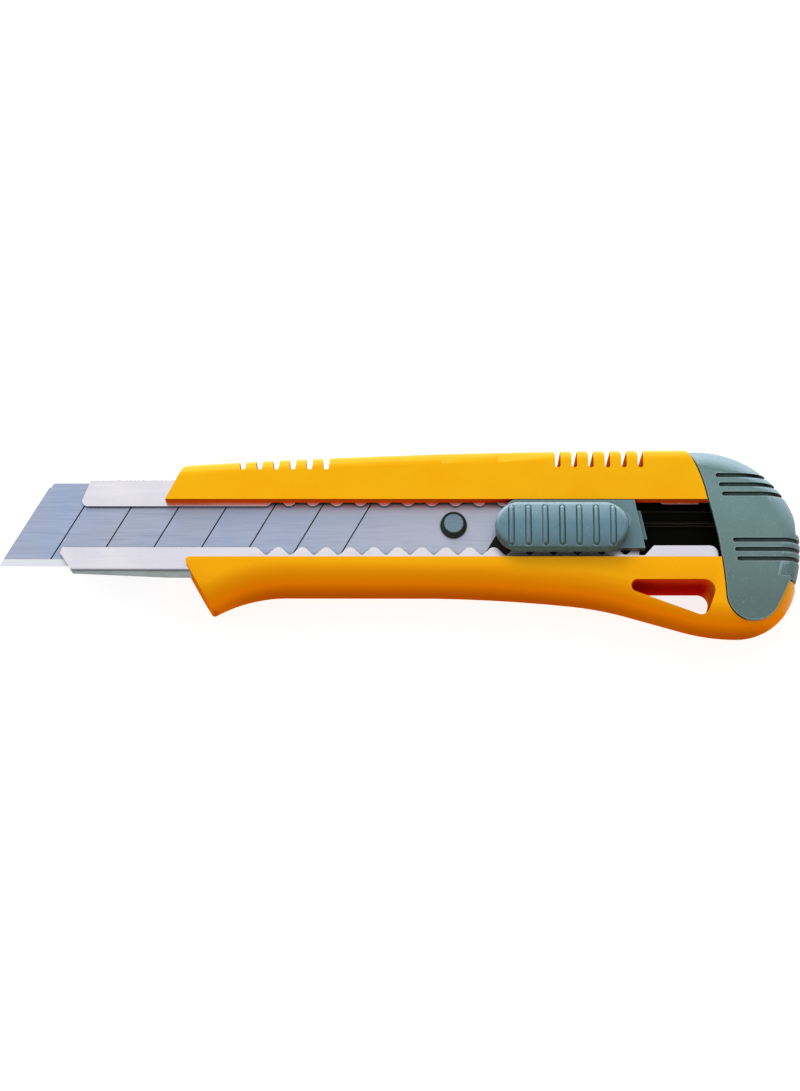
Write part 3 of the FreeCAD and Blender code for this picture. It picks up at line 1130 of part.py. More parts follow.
def make_lock_spring(doc, dims):
    """A flat spring leaf whose two pointed ears stand in the flanges' waves."""
    body = new_body(doc, "lock_spring")
    plan = new_sketch(body, "Leaf", "XY_Plane", dims.carrier_step + dims.lock_play)
    front, rear = dims.window_front_x + SLIVER, dims.window_rear_x - SLIVER
    lower_ear = dims.wave_first_x + dims.wave_pitch * dims.lower_ear_wave
    upper_ear = dims.wave_first_x + dims.wave_shift + dims.wave_pitch * dims.upper_ear_wave
    root = dims.ear_width / 2 + dims.ear_flare
    tip = dims.ear_tip
    lower_end = dims.flange_slit_low - dims.wave_depth + dims.ear_play
    upper_end = dims.flange_slit_high + dims.wave_depth - dims.ear_play
    outline(plan, [(front, dims.neck_low), (lower_ear - root, dims.neck_low),
                   (lower_ear - tip, lower_end), (lower_ear + tip, lower_end),
                   (lower_ear + root, dims.neck_low), (rear, dims.neck_low), (rear, dims.neck_high),
                   (upper_ear + root, dims.neck_high),
                   (upper_ear + tip, upper_end), (upper_ear - tip, upper_end),
                   (upper_ear - root, dims.neck_high), (front, dims.neck_high)])
    pad(body, "LeafPad", plan, dims.lock_thickness)
    return body


def make_button_spring(doc, dims):
    """A bowed leaf that stands on the lock spring and lifts the button."""
    body = new_body(doc, "button_spring")
    foot = dims.carrier_step + dims.lock_play + dims.lock_thickness + dims.bow_play
    top = dims.button_under - dims.bow_play
    side = new_sketch(body, "Bow", "XZ_Plane", -dims.middle_y - dims.spring_width / 2)
    front, rear = dims.window_front_x + SLIVER * 2, dims.window_rear_x - SLIVER * 2
    wall = dims.spring_thickness
    lean = dims.bow_lean
    turn = lean + dims.bow_fold
    outline(side, [(front, foot), (front + dims.bow_foot, foot), (front + turn, top - wall),
                   (rear - turn, top - wall), (rear - dims.bow_foot, foot), (rear, foot),
                   (rear - lean, top), (front + lean, top)])
    pad(body, "BowPad", side, dims.spring_width)
    return body


def make_button(doc, dims):
    """The ribbed thumb button, with two legs that guide it in the plate."""
    body = new_body(doc, "thumb_button")
    plan = new_sketch(body, "ButtonOutline", "XY_Plane", dims.button_under)
    radius = (dims.button_high - dims.button_low) / 2
    front = dims.button_front_x + radius * dims.button_end_share
    rear = dims.button_rear_x - radius * dims.button_end_share
    bow = radius * dims.button_bow_share
    outline(plan, [(front, dims.button_high, bow), (front, dims.button_low),
                   (rear, dims.button_low, bow), (rear, dims.button_high)])
    pad(body, "ButtonPad", plan, dims.button_thickness)
    round_edges(body, "ButtonRound", dims.button_rounding,
                lambda point, way: near(point.z, dims.button_top))
    middle = dims.middle_y
    moat = new_sketch(body, "Moat", "XY_Plane", dims.button_top)
    half_width = dims.rib_width / 2
    half_length = dims.rib_length / 2
    stadium(moat, dims.rib_first_x - half_width - dims.rib_moat, middle - half_length - dims.rib_moat,
            dims.rib_first_x + half_width + dims.rib_moat, middle + half_length + dims.rib_moat)
    cut = pocket(body, "MoatCut", moat, dims.rib_moat_depth)
    repeat(body, "Moats", cut, moat, dims.rib_pitch, dims.rib_count)
    rib = new_sketch(body, "Rib", "XY_Plane", dims.button_top - dims.rib_moat_depth)
    stadium(rib, dims.rib_first_x - half_width, middle - half_length,
            dims.rib_first_x + half_width, middle + half_length)
    raised = pad(body, "RibPad", rib, dims.rib_moat_depth + dims.rib_rise)
    repeat(body, "Ribs", raised, rib, dims.rib_pitch, dims.rib_count)
    legs = new_sketch(body, "Legs", "XY_Plane", dims.plate_top - dims.leg_reach)
    for x in leg_places(dims):
        rectangle(legs, x, middle - dims.leg_width / 2, x + dims.leg_length, middle + dims.leg_width / 2)
    pad(body, "LegPad", legs, dims.leg_reach + dims.button_gap)
    return body


# ---------------------------------------------------------------- build, check and write

def check(doc, parts):
    """Stop on any failed object or shape."""
    for item in doc.Objects:
        if "Invalid" in item.State or "Error" in item.State:
            raise RuntimeError(f"{item.Name} failed: {item.State}")
    for item in parts:
        if item.Shape.isNull() or not item.Shape.isValid():
            raise RuntimeError(f"{item.Label} has no valid shape")


def main():
    doc = FreeCAD.newDocument("SnapOffKnife")
    dims = write_sheet(doc)
    add_levels(dims)
    makers = (make_handle, make_channel, make_guide, make_blade, make_carrier, make_plate, make_rivets,
              make_lock_spring, make_button_spring, make_button, make_cap)
    parts = [make(doc, dims) for make in makers]
    doc.recompute()
    check(doc, parts)
    os.makedirs("parts", exist_ok=True)
    for item in parts:
        item.Shape.exportStep(f"parts/{item.Label}.step")
        print(item.Label, len(item.Shape.Solids), round(item.Shape.Volume, 2))


main()
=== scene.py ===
"""Snap-off knife: materials, finished edges, a domed thumb button, floor, light and camera."""
import math

import bmesh
import bpy
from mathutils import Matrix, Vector


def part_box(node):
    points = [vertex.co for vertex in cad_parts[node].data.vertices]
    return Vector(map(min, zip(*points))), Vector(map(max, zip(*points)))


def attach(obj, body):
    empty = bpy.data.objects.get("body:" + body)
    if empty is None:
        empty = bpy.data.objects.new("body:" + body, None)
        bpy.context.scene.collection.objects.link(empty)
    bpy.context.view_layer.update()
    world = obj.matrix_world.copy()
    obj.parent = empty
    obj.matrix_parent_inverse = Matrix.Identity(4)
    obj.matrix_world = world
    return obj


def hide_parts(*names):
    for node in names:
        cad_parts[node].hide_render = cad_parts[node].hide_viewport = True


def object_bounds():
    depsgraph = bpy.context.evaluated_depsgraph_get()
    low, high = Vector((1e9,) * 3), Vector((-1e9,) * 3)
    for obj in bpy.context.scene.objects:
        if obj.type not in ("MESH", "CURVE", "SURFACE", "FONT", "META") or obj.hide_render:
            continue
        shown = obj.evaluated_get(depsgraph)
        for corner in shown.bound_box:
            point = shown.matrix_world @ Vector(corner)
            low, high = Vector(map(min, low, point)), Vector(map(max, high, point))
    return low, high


MM = 0.001                  # every length below is in metres

# the camera stands almost above the knife, a little towards the cutting edge
CAMERA_ELEVATION = 74.5     # degrees above the floor
CAMERA_DISTANCE = 0.520
CAMERA_AIM_Y = 0.13 * MM    # from the knife's middle
CAMERA_AIM_Z = 7.7 * MM
CAMERA_NEAR = 10.0 * MM
LENS = 81.5032              # focal length, in the sensor's millimetres
SENSOR = 36.0

HORIZON = 0.3               # brightness of the sky low down
SKY = 0.76                  # brightness of the sky high up
SKY_FROM = 0.1              # sine of the elevation where the sky starts to brighten
SKY_TO = 0.7                # and where it is as bright as it gets
SKY_TINT = (0.97, 0.985, 1.0, 1.0)
KEY_POWER = 5.5
KEY_PLACE = (-0.3, 0.75, 0.45)
KEY_AIM = (0.0, 0.0, 0.0)
KEY_SIZE = (0.8, 0.4)

FLOOR_GLOW = 0.82
FLOOR_DROP = 0.03 * MM      # keeps the floor clear of the knife's flat back
FLOOR_HALF = 2.0
PAPER_PALE = (0.34, 0.34, 0.34, 1.0)
PAPER_DARK = (0.32, 0.32, 0.32, 1.0)
PAPER_LIGHT = (1.0, 1.0, 1.0, 1.0)


# ---------------------------------------------------------------- colours

def rgb(red, green, blue):
    """A display colour of 0 to 255 as a linear colour."""
    def linear(value):
        value /= 255
        return value / 12.92 if value <= 0.04045 else ((value + 0.055) / 1.055) ** 2.4
    return (linear(red), linear(green), linear(blue), 1.0)


def shaded(colour, factor):
    """A colour made darker or brighter."""
    return tuple(min(part * factor, 1.0) for part in colour[:3]) + (1.0,)


AMBER = rgb(254, 186, 16)
AMBER_CLOUD = rgb(252, 178, 8)
AMBER_LOW_SHADE = rgb(255, 174, 8)            # painted shade: more orange on the cutting edge's side
AMBER_SPINE_LIGHT = rgb(255, 214, 60)         # painted light on faces turned to the spine's side
AMBER_BELLY_SHADE = rgb(252, 134, 0)          # painted shade on faces turned away from it
# painted shade, darker still, on the underside
AMBER_UNDERSIDE_SHADE = rgb(190, 84, 0)
# painted shade on faces turned to the front
AMBER_FRONT_SHADE = rgb(222, 112, 0)
AMBER_WALL_SHADE = rgb(242, 84, 8)            # painted shade on the walls of the slot and the lanyard hole
# painted shade, deeper red, in tight corners
AMBER_DEEP_SHADE = rgb(196, 22, 4)
AMBER_SHINE = rgb(255, 206, 96)

SLIDER_GREEN = rgb(96, 126, 134)
RIVET_GREEN = rgb(100, 128, 140)
BUTTON_GREEN = rgb(94, 128, 142)
CAP_GREEN = rgb(106, 136, 136)
CAP_GREEN_LOW_SHADE = rgb(88, 112, 108)       # painted shade on the cutting edge's side
GREEN_LIT = rgb(164, 194, 204)
GREEN_SHADED = rgb(62, 82, 70)
GREEN_SPECK = rgb(168, 188, 190)
GREEN_EDGE_HIGHLIGHT = rgb(186, 206, 208)
GREEN_GROOVE_SHADE = rgb(18, 34, 26)

SHEET = rgb(254, 250, 255)
SHEET_CLOUD = rgb(245, 241, 252)
SHEET_STREAK = rgb(206, 206, 220)
SHEET_EDGE_HIGHLIGHT = rgb(255, 255, 255)
SHEET_CREVICE_SHADE = rgb(12, 20, 18)
# painted shade on the channel's upright walls and cut edges, mottled
WALL_SHADE_PALE = rgb(114, 134, 134)
WALL_SHADE_MOTTLE = rgb(84, 104, 102)
WALL_RIM_SHADOW = rgb(20, 34, 32)              # painted shadow: the dark strip under the flanges

BLADE = rgb(170, 187, 218)
BLADE_CLOUD = rgb(184, 190, 210)
BLADE_REAR = rgb(198, 202, 218)
GRIND_PALE = rgb(192, 204, 226)
GRIND_DARK = rgb(136, 152, 184)
SCORE_LINE = rgb(2, 8, 18)
HONED_EDGE = rgb(246, 248, 252)
BLADE_SIDE_SHADE = rgb(66, 84, 110)
BLADE_CREVICE_SHADOW = rgb(22, 28, 42)

TRAY = rgb(8, 8, 9)
TRAY_GRAIN = rgb(18, 18, 19)
PEG = rgb(108, 132, 148)
PEG_GRAIN = rgb(124, 148, 164)
PEG_SIDE_SHADE = rgb(34, 52, 46)

GUIDE = rgb(2, 3, 1)
GUIDE_GRAIN = rgb(7, 7, 3)
GUIDE_EDGE_HIGHLIGHT = rgb(186, 184, 150)
SPRING = rgb(110, 112, 118)


# ---------------------------------------------------------------- node helpers

class Tree:
    """Short ways to build a material's node tree."""

    def __init__(self, name):
        self.material = bpy.data.materials.new(name)
        self.material.use_nodes = True
        self.nodes = self.material.node_tree.nodes
        self.links = self.material.node_tree.links
        self.shader = self.nodes["Principled BSDF"]
        coordinates = self.node("ShaderNodeTexCoord")
        self.place = coordinates.outputs["Object"]
        self.facing = coordinates.outputs["Normal"]

    def node(self, kind, **settings):
        made = self.nodes.new(kind)
        for key, value in settings.items():
            setattr(made, key, value)
        return made

    def put(self, socket, value):
        """Link an output, or set a plain value."""
        if isinstance(value, bpy.types.NodeSocket):
            self.links.new(value, socket)
        else:
            socket.default_value = value

    def set(self, **inputs):
        """Set the shader's inputs; underscores stand for spaces."""
        for key, value in inputs.items():
            self.put(self.shader.inputs[key.replace("_", " ")], value)

    def stretched(self, factors):
        """Object coordinates times a factor along each axis."""
        made = self.node("ShaderNodeMapping")
        self.put(made.inputs["Vector"], self.place)
        made.inputs["Scale"].default_value = factors
        return made.outputs["Vector"]

    def noise(self, scale, detail=3.0, roughness=0.55, factors=None):
        """Noise over the object, drawn out along an axis whose factor is below one."""
        made = self.node("ShaderNodeTexNoise")
        self.put(made.inputs["Vector"], self.stretched(factors) if factors else self.place)
        made.inputs["Scale"].default_value = scale
        made.inputs["Detail"].default_value = detail
        made.inputs["Roughness"].default_value = roughness
        return made.outputs["Fac"]

    def ramp(self, value, low, high, to_low=0.0, to_high=1.0):
        """Map value from low..high to to_low..to_high, clamped."""
        made = self.node("ShaderNodeMapRange")
        self.put(made.inputs["Value"], value)
        made.inputs["From Min"].default_value = low
        made.inputs["From Max"].default_value = high
        made.inputs["To Min"].default_value = to_low
        made.inputs["To Max"].default_value = to_high
        return made.outputs["Result"]

    def math(self, kind, first, second=0.0):
        made = self.node("ShaderNodeMath", operation=kind)
        self.put(made.inputs[0], first)
        self.put(made.inputs[1], second)
        return made.outputs["Value"]

    def mix(self, share, base, colour):
        """Turn base to colour by a share of 0 to 1."""
        made = self.node("ShaderNodeMix", data_type="RGBA")
        self.put(made.inputs["Factor"], share)
        self.put(made.inputs["A"], base)
        self.put(made.inputs["B"], colour)
        return made.outputs["Result"]

    def towards(self, base, colour, value, low, high, share=1.0):
        """Turn base to colour as value goes from low to high, by a share at most."""
        return self.mix(self.ramp(value, low, high, 0.0, share), base, colour)

    def bump(self, height, distance, strength, below=None):
        """Bump from a height of 0 to 1, which stands for the distance."""
        made = self.node("ShaderNodeBump")
        self.put(made.inputs["Height"], height)
        made.inputs["Distance"].default_value = distance
        made.inputs["Strength"].default_value = strength
        if below is not None:
            self.put(made.inputs["Normal"], below)
        return made.outputs["Normal"]

    def openness(self, distance):
        """One in the open, falling to zero in tight corners."""
        made = self.node("ShaderNodeAmbientOcclusion", samples=8)
        made.inputs["Distance"].default_value = distance
        return made.outputs["AO"]

    def edge(self, radius, share):
        """Zero on flat surfaces, rising to the share on edges and corners."""
        softened = self.node("ShaderNodeBevel", samples=6)
        softened.inputs["Radius"].default_value = radius
        plain = self.node("ShaderNodeNewGeometry")
        agreement = self.node("ShaderNodeVectorMath", operation="DOT_PRODUCT")
        self.put(agreement.inputs[0], softened.outputs["Normal"])
        self.put(agreement.inputs[1], plain.outputs["Normal"])
        return self.ramp(agreement.outputs["Value"], 0.995, 0.85, 0.0, share)

    def along(self, vector, axis):
        """One coordinate of a vector."""
        made = self.node("ShaderNodeSeparateXYZ")
        self.put(made.inputs["Vector"], vector)
        return made.outputs[axis]

    def level(self):
        """One on faces that lie flat, zero on upright walls."""
        return self.math("ABSOLUTE", self.along(self.facing, "Z"))


# ---------------------------------------------------------------- materials

BEVEL_WIDTH = 1.45 * MM     # ground bevel of the blade
BEVEL_BLUR = 0.04 * MM
SCORE_TOP = 0.005 * MM      # depth below the blade's face where a score line starts to darken
SCORE_FLOOR = 0.03 * MM     # and where it is darkest
GREY_FROM = 42.0 * MM       # from the blade's tip: where its blue starts to fade
GREY_TO = 90.0 * MM
RIM_TOP = 0.9 * MM          # depth of the painted shadow strip on the channel's walls
RIM_FOOT = 1.5 * MM
RIM_RAGGED = 0.55 * MM      # how far the strip's lower edge wanders
PEG_FOOT = 1.55 * MM        # the carrier's peg, down to this depth, takes the peg's colours
PEG_BLUR = 0.2 * MM


def amber_plastic():
    """The handle's glossy moulding, with painted shade: red in its recesses, browner towards its underside
    and darker on faces turned to the front; painted light on faces turned to the spine.
    """
    tree = Tree("amber_plastic")
    base = tree.towards(AMBER, AMBER_CLOUD, tree.noise(90.0, detail=4.0), 0.35, 0.65)
    # painted shade: more orange towards the cutting edge's side, away from the light
    base = tree.towards(base, AMBER_LOW_SHADE, tree.along(tree.place, "Y"), 14.0 * MM, -9.0 * MM)
    sideways = tree.along(tree.facing, "Y")
    # painted light on faces turned to the spine's side; painted shade on faces turned away and on the
    # underside
    base = tree.towards(base, AMBER_SPINE_LIGHT, sideways, 0.3, 0.95)
    base = tree.towards(base, AMBER_BELLY_SHADE, sideways, -0.05, -0.75)
    base = tree.towards(base, AMBER_UNDERSIDE_SHADE, sideways, -0.75, -1.0)

    # painted shade: upright faces in recesses turn red, and deep red in tight corners
    openness = tree.openness(11.0 * MM)
    upright = tree.ramp(tree.level(), 0.5, 0.15)
    walled_shade = tree.math("MULTIPLY", tree.ramp(openness, 0.84, 0.5), upright)
    deep_shade = tree.math("MULTIPLY", tree.ramp(openness, 0.5, 0.15), upright)
    base = tree.mix(walled_shade, base, AMBER_WALL_SHADE)
    base = tree.mix(deep_shade, base, AMBER_DEEP_SHADE)
    # painted shade on faces turned to the front
    rearward = tree.along(tree.facing, "X")
    base = tree.towards(base, AMBER_FRONT_SHADE, rearward, -0.5, -0.9)

    turned_away = tree.math("MINIMUM", sideways, rearward)
    dull = tree.math("MINIMUM", turned_away, tree.math("SUBTRACT", 0.0, walled_shade))
    shine = tree.ramp(dull, -0.15, -0.6, 0.32, 0.0)
    rubbed = tree.ramp(tree.noise(60.0, detail=6.0, roughness=0.7), 0.45, 0.75, 0.26, 0.38)
    scratches = tree.noise(900.0, detail=2.0, roughness=0.5, factors=(0.06, 1.0, 1.0))
    scratches = tree.ramp(scratches, 0.62, 0.72)
    peel = tree.bump(tree.noise(1500.0, detail=2.0), 6e-6, 0.5)
    tree.set(Base_Color=base, Specular_IOR_Level=shine, Specular_Tint=AMBER_SHINE,
             Roughness=tree.math("ADD", rubbed, tree.math("MULTIPLY", scratches, 0.08)),
             Normal=tree.bump(scratches, 2e-6, 0.4, peel))
    return tree.material


def green_plastic(name, tint, low_shade=None):
    """Fine-grained matt moulding, with painted shade in its grooves and on faces turned from the spine, and
    painted highlights on its edges and on faces turned to the spine.
    """
    tree = Tree(name)
    grain = tree.noise(2600.0, roughness=0.7)
    base = tree.towards(tint, shaded(tint, 1.13), tree.noise(110.0, detail=4.0), 0.35, 0.65)
    # painted shade: darker towards the cutting edge's side
    if low_shade is not None:
        base = tree.towards(base, low_shade, tree.along(tree.place, "Y"), 8.0 * MM, -14.0 * MM)
    sideways = tree.along(tree.facing, "Y")
    # painted light on faces turned to the spine's side, painted shade on faces turned away
    base = tree.towards(base, GREEN_LIT, sideways, 0.03, 0.5)
    base = tree.towards(base, GREEN_SHADED, sideways, -0.08, -0.5)
    base = tree.towards(base, shaded(tint, 0.86), grain, 0.42, 0.3)
    base = tree.towards(base, GREEN_SPECK, grain, 0.6, 0.75, share=0.5)
    # painted highlight on edges and corners
    base = tree.mix(tree.edge(0.3 * MM, share=0.55), base, GREEN_EDGE_HIGHLIGHT)
    # painted shade in grooves and tight corners
    base = tree.towards(base, GREEN_GROOVE_SHADE, tree.openness(1.6 * MM), 0.72, 0.25)
    tree.set(Base_Color=base, Specular_IOR_Level=0.4,
             Roughness=tree.ramp(grain, 0.3, 0.7, 0.42, 0.56),
             Normal=tree.bump(grain, 1.2e-5, 0.6))
    return tree.material


def bright_sheet(box):
    """Bright stainless sheet: almost white where it lies flat, with painted highlights on its edges; painted
    shade, mottled, on its walls, a near-black painted shadow strip at its cut edges under the flanges, and
    painted shade in its crevices.
    """
    top = box[1].z
    tree = Tree("bright_sheet")
    streaks = tree.noise(900.0, roughness=0.6, factors=(0.05, 1.0, 1.0))
    mottle = tree.noise(260.0, detail=5.0, roughness=0.65)
    cloud = tree.noise(55.0, detail=5.0, roughness=0.6)
    flat = tree.towards(SHEET, SHEET_CLOUD, cloud, 0.4, 0.62)
    flat = tree.towards(flat, SHEET_STREAK, streaks, 0.55, 0.75, share=0.12)
    # painted highlight on edges and corners
    flat = tree.mix(tree.edge(0.25 * MM, share=0.5), flat, SHEET_EDGE_HIGHLIGHT)

    # painted shade on upright walls and cut edges, mottled by noise
    wall = tree.towards(WALL_SHADE_PALE, WALL_SHADE_MOTTLE, mottle, 0.38, 0.62)
    # painted shadow: a dark strip down from the channel's top, with a ragged lower edge
    depth = tree.math("SUBTRACT", top, tree.along(tree.place, "Z"))
    ragged = tree.math("ADD", depth, tree.ramp(mottle, 0.35, 0.65, -RIM_RAGGED, RIM_RAGGED))
    wall = tree.towards(wall, WALL_RIM_SHADOW, ragged, RIM_FOOT, RIM_TOP)

    # flat faces keep the sheet's colour; upright faces take the painted wall shade
    base = tree.towards(flat, wall, tree.level(), 0.82, 0.45)
    # painted shade in crevices
    base = tree.towards(base, SHEET_CREVICE_SHADE, tree.openness(1.5 * MM), 0.5, 0.12)
    tree.set(Base_Color=base, Metallic=1.0, Roughness=tree.ramp(streaks, 0.3, 0.7, 0.22, 0.36),
             Normal=tree.bump(streaks, 5e-7, 0.3))
    return tree.material


def blade_steel(box):
    """Blue-grey blade steel with a lengthwise grind, dark score lines and a white honed edge."""
    low, high = box
    tree = Tree("blade_steel")
    grind = tree.noise(3600.0, roughness=0.65, factors=(0.03, 1.0, 1.0))
    cloud = tree.noise(45.0, detail=4.0, roughness=0.6)
    base = tree.towards(BLADE, BLADE_CLOUD, cloud, 0.35, 0.65)
    base = tree.towards(base, BLADE_REAR, tree.along(tree.place, "X"), low.x + GREY_FROM, low.x + GREY_TO)
    base = tree.towards(base, GRIND_PALE, grind, 0.5, 0.75, share=0.4)
    base = tree.towards(base, GRIND_DARK, grind, 0.48, 0.28, share=0.35)

    height = tree.along(tree.place, "Z")
    sunk = tree.ramp(height, high.z - SCORE_TOP, high.z - SCORE_FLOOR)
    honed_to = low.y + BEVEL_WIDTH
    honed = tree.ramp(tree.along(tree.place, "Y"), honed_to + BEVEL_BLUR, honed_to - BEVEL_BLUR)
    scored = tree.math("MULTIPLY", sunk, tree.math("SUBTRACT", 1.0, honed))
    base = tree.mix(scored, base, SCORE_LINE)
    base = tree.mix(honed, base, HONED_EDGE)
    # painted shade on the blade's upright sides
    base = tree.towards(base, BLADE_SIDE_SHADE, tree.level(), 0.6, 0.2)
    # painted shadow on the blade beside the flanges and in crevices
    base = tree.towards(base, BLADE_CREVICE_SHADOW, tree.openness(1.6 * MM), 0.7, 0.35)
    tree.set(Base_Color=base, Metallic=tree.ramp(honed, 0.0, 1.0, 1.0, 0.55),
             Roughness=tree.ramp(grind, 0.3, 0.7, 0.28, 0.4), Normal=tree.bump(grind, 6e-7, 0.4))
    return tree.material


def carrier_plastic(box):
    """Black tray whose peg's top, down to a set depth, is grey-green, with painted shade on the peg's sides.
    """
    top = box[1].z
    tree = Tree("carrier_plastic")
    grain = tree.noise(2200.0, roughness=0.7)
    base = tree.towards(TRAY, TRAY_GRAIN, grain, 0.35, 0.65)
    peg = tree.towards(PEG, PEG_GRAIN, grain, 0.35, 0.65)
    # painted shade on the peg's sides
    peg = tree.towards(peg, PEG_SIDE_SHADE, tree.along(tree.facing, "Z"), 0.97, 0.75)
    peg_foot = top - PEG_FOOT
    base = tree.towards(base, peg, tree.along(tree.place, "Z"), peg_foot, peg_foot + PEG_BLUR)
    tree.set(Base_Color=base, Specular_IOR_Level=0.2,
             Roughness=tree.ramp(grain, 0.3, 0.7, 0.42, 0.56), Normal=tree.bump(grain, 8e-6, 0.5))
    return tree.material


def guide_plastic():
    """Dark inner moulding with a painted highlight on its edges."""
    tree = Tree("guide_plastic")
    grain = tree.noise(1400.0, roughness=0.7)
    base = tree.towards(GUIDE, GUIDE_GRAIN, grain, 0.35, 0.65)
    # painted highlight on edges and corners
    base = tree.mix(tree.edge(0.3 * MM, share=0.75), base, GUIDE_EDGE_HIGHLIGHT)
    tree.set(Base_Color=base, Specular_IOR_Level=0.05,
             Roughness=tree.ramp(grain, 0.3, 0.7, 0.5, 0.66), Normal=tree.bump(grain, 8e-6, 0.5))
    return tree.material


def spring_steel(name):
    """Oiled steel with fine rolling marks."""
    tree = Tree(name)
    rolled = tree.noise(1800.0, roughness=0.6, factors=(1.0, 0.1, 1.0))
    base = tree.towards(SPRING, shaded(SPRING, 0.6), rolled, 0.35, 0.65)
    tree.set(Base_Color=base, Metallic=1.0, Roughness=tree.ramp(rolled, 0.3, 0.7, 0.25, 0.42),
             Normal=tree.bump(rolled, 2e-6, 0.5))
    return tree.material


# ---------------------------------------------------------------- finishing the CAD nodes

WELD_REACH = 1e-6
FLAT_ANGLE = 0.6            # degrees within which neighbouring faces are one flat face
SHARP_ANGLE = 32.0          # degrees from which an edge is rounded

# each node's rounding and its number of segments
ROUNDED = {
    "handle_body": (0.4 * MM, 3),
    "slider_plate": (0.22 * MM, 3),
    "blade_channel": (0.09 * MM, 2),
    "end_cap": (0.2 * MM, 2),
    "guide_rail": (0.2 * MM, 2),
    "blade_carrier": (0.4 * MM, 3),
}


def soften(node, width, segments):
    """Round a node's sharp edges by modifiers; its own vertices stay as they are."""
    weld = node.modifiers.new("weld", "WELD")
    weld.merge_threshold = WELD_REACH
    flat = node.modifiers.new("flat", "DECIMATE")
    flat.decimate_type = "DISSOLVE"
    flat.angle_limit = math.radians(FLAT_ANGLE)
    bevel = node.modifiers.new("edges", "BEVEL")
    bevel.width = width
    bevel.segments = segments
    bevel.limit_method = "ANGLE"
    bevel.angle_limit = math.radians(SHARP_ANGLE)
    bevel.harden_normals = True
    bevel.use_clamp_overlap = True


# ---------------------------------------------------------------- thumb button

END_BOW = 5.325 * MM        # radius of the button's round ends
LEG_DEPTH = 2.35 * MM       # the CAD node reaches this far below the button, with its legs
LEG_FRONTS = (3.85 * MM, 20.85 * MM)    # each leg's front, from the button's front
LEG_LENGTH = 2.0 * MM
LEG_WIDTH = 4.4 * MM
RIB_COUNT = 7
RIB_PITCH = 3.52 * MM
RIB_FIRST = 3.35 * MM       # first rib, from the button's front
RIB_REACH = 3.75 * MM       # a rib's straight part, to each side of the middle
RIB_HALF = 0.5 * MM
RIB_RISE = 0.3 * MM
RIB_PROUD = 0.1 * MM        # the ribs stand this far above the CAD button
MOAT_HALF = 0.74 * MM       # narrow groove round each rib, from the rib's middle
MOAT_DEPTH = 0.26 * MM
CROWN = 0.8 * MM            # how much the pad falls from its middle line to its long edges
RIM = 0.85 * MM             # rounding of the pad's edge
STEP_X = 0.1 * MM
STEP_Y = 0.2 * MM
RIM_STEPS = 7
END_STEPS = 9
CREASE_ANGLE = 50.0         # degrees


def rib_height(x, y, first_rib, middle):
    """Height of the ribs and of the narrow groove round each, above the pad."""
    nearest = min(max(round((x - first_rib) / RIB_PITCH), 0), RIB_COUNT - 1)
    beside = x - first_rib - nearest * RIB_PITCH
    past = max(abs(y - middle) - RIB_REACH, 0.0)
    away = math.hypot(beside, past)
    if away < RIB_HALF:
        share = away / RIB_HALF
        return RIB_RISE * math.sqrt(1.0 - share ** 2) - MOAT_DEPTH * share ** 4
    if away < MOAT_HALF:
        share = (away - RIB_HALF) / (MOAT_HALF - RIB_HALF)
        return -MOAT_DEPTH * (0.5 + 0.5 * math.cos(math.pi * share))
    return 0.0


def eased(count):
    """Shares from 0 to 1, closer together near 0."""
    return [1.0 - math.cos(math.pi / 2 * number / count) for number in range(count + 1)]


def even(start, end, step):
    """Places from start to end, both included, about a step apart."""
    count = round((end - start) / step)
    return [start + (end - start) * number / count for number in range(count + 1)]


def close_below(mesh, grid, foot):
    """Close a grid of vertices with a skirt down to foot and a flat underside."""
    rim = grid[0] + [row[-1] for row in grid[1:-1]]
    rim += grid[-1][::-1] + [row[0] for row in grid[-2:0:-1]]
    skirt = [mesh.verts.new((vert.co.x, vert.co.y, foot)) for vert in rim]
    for place, vert in enumerate(rim):
        following = (place + 1) % len(rim)
        mesh.faces.new((skirt[place], skirt[following], rim[following], vert))
    mesh.faces.new(skirt[::-1])


def add_leg(mesh, front, middle, foot):
    """One block leg under the button."""
    for vert in bmesh.ops.create_cube(mesh, size=1.0)["verts"]:
        vert.co.x = front + (vert.co.x + 0.5) * LEG_LENGTH
        vert.co.y = middle + vert.co.y * LEG_WIDTH
        vert.co.z = foot + (vert.co.z + 0.5) * LEG_DEPTH


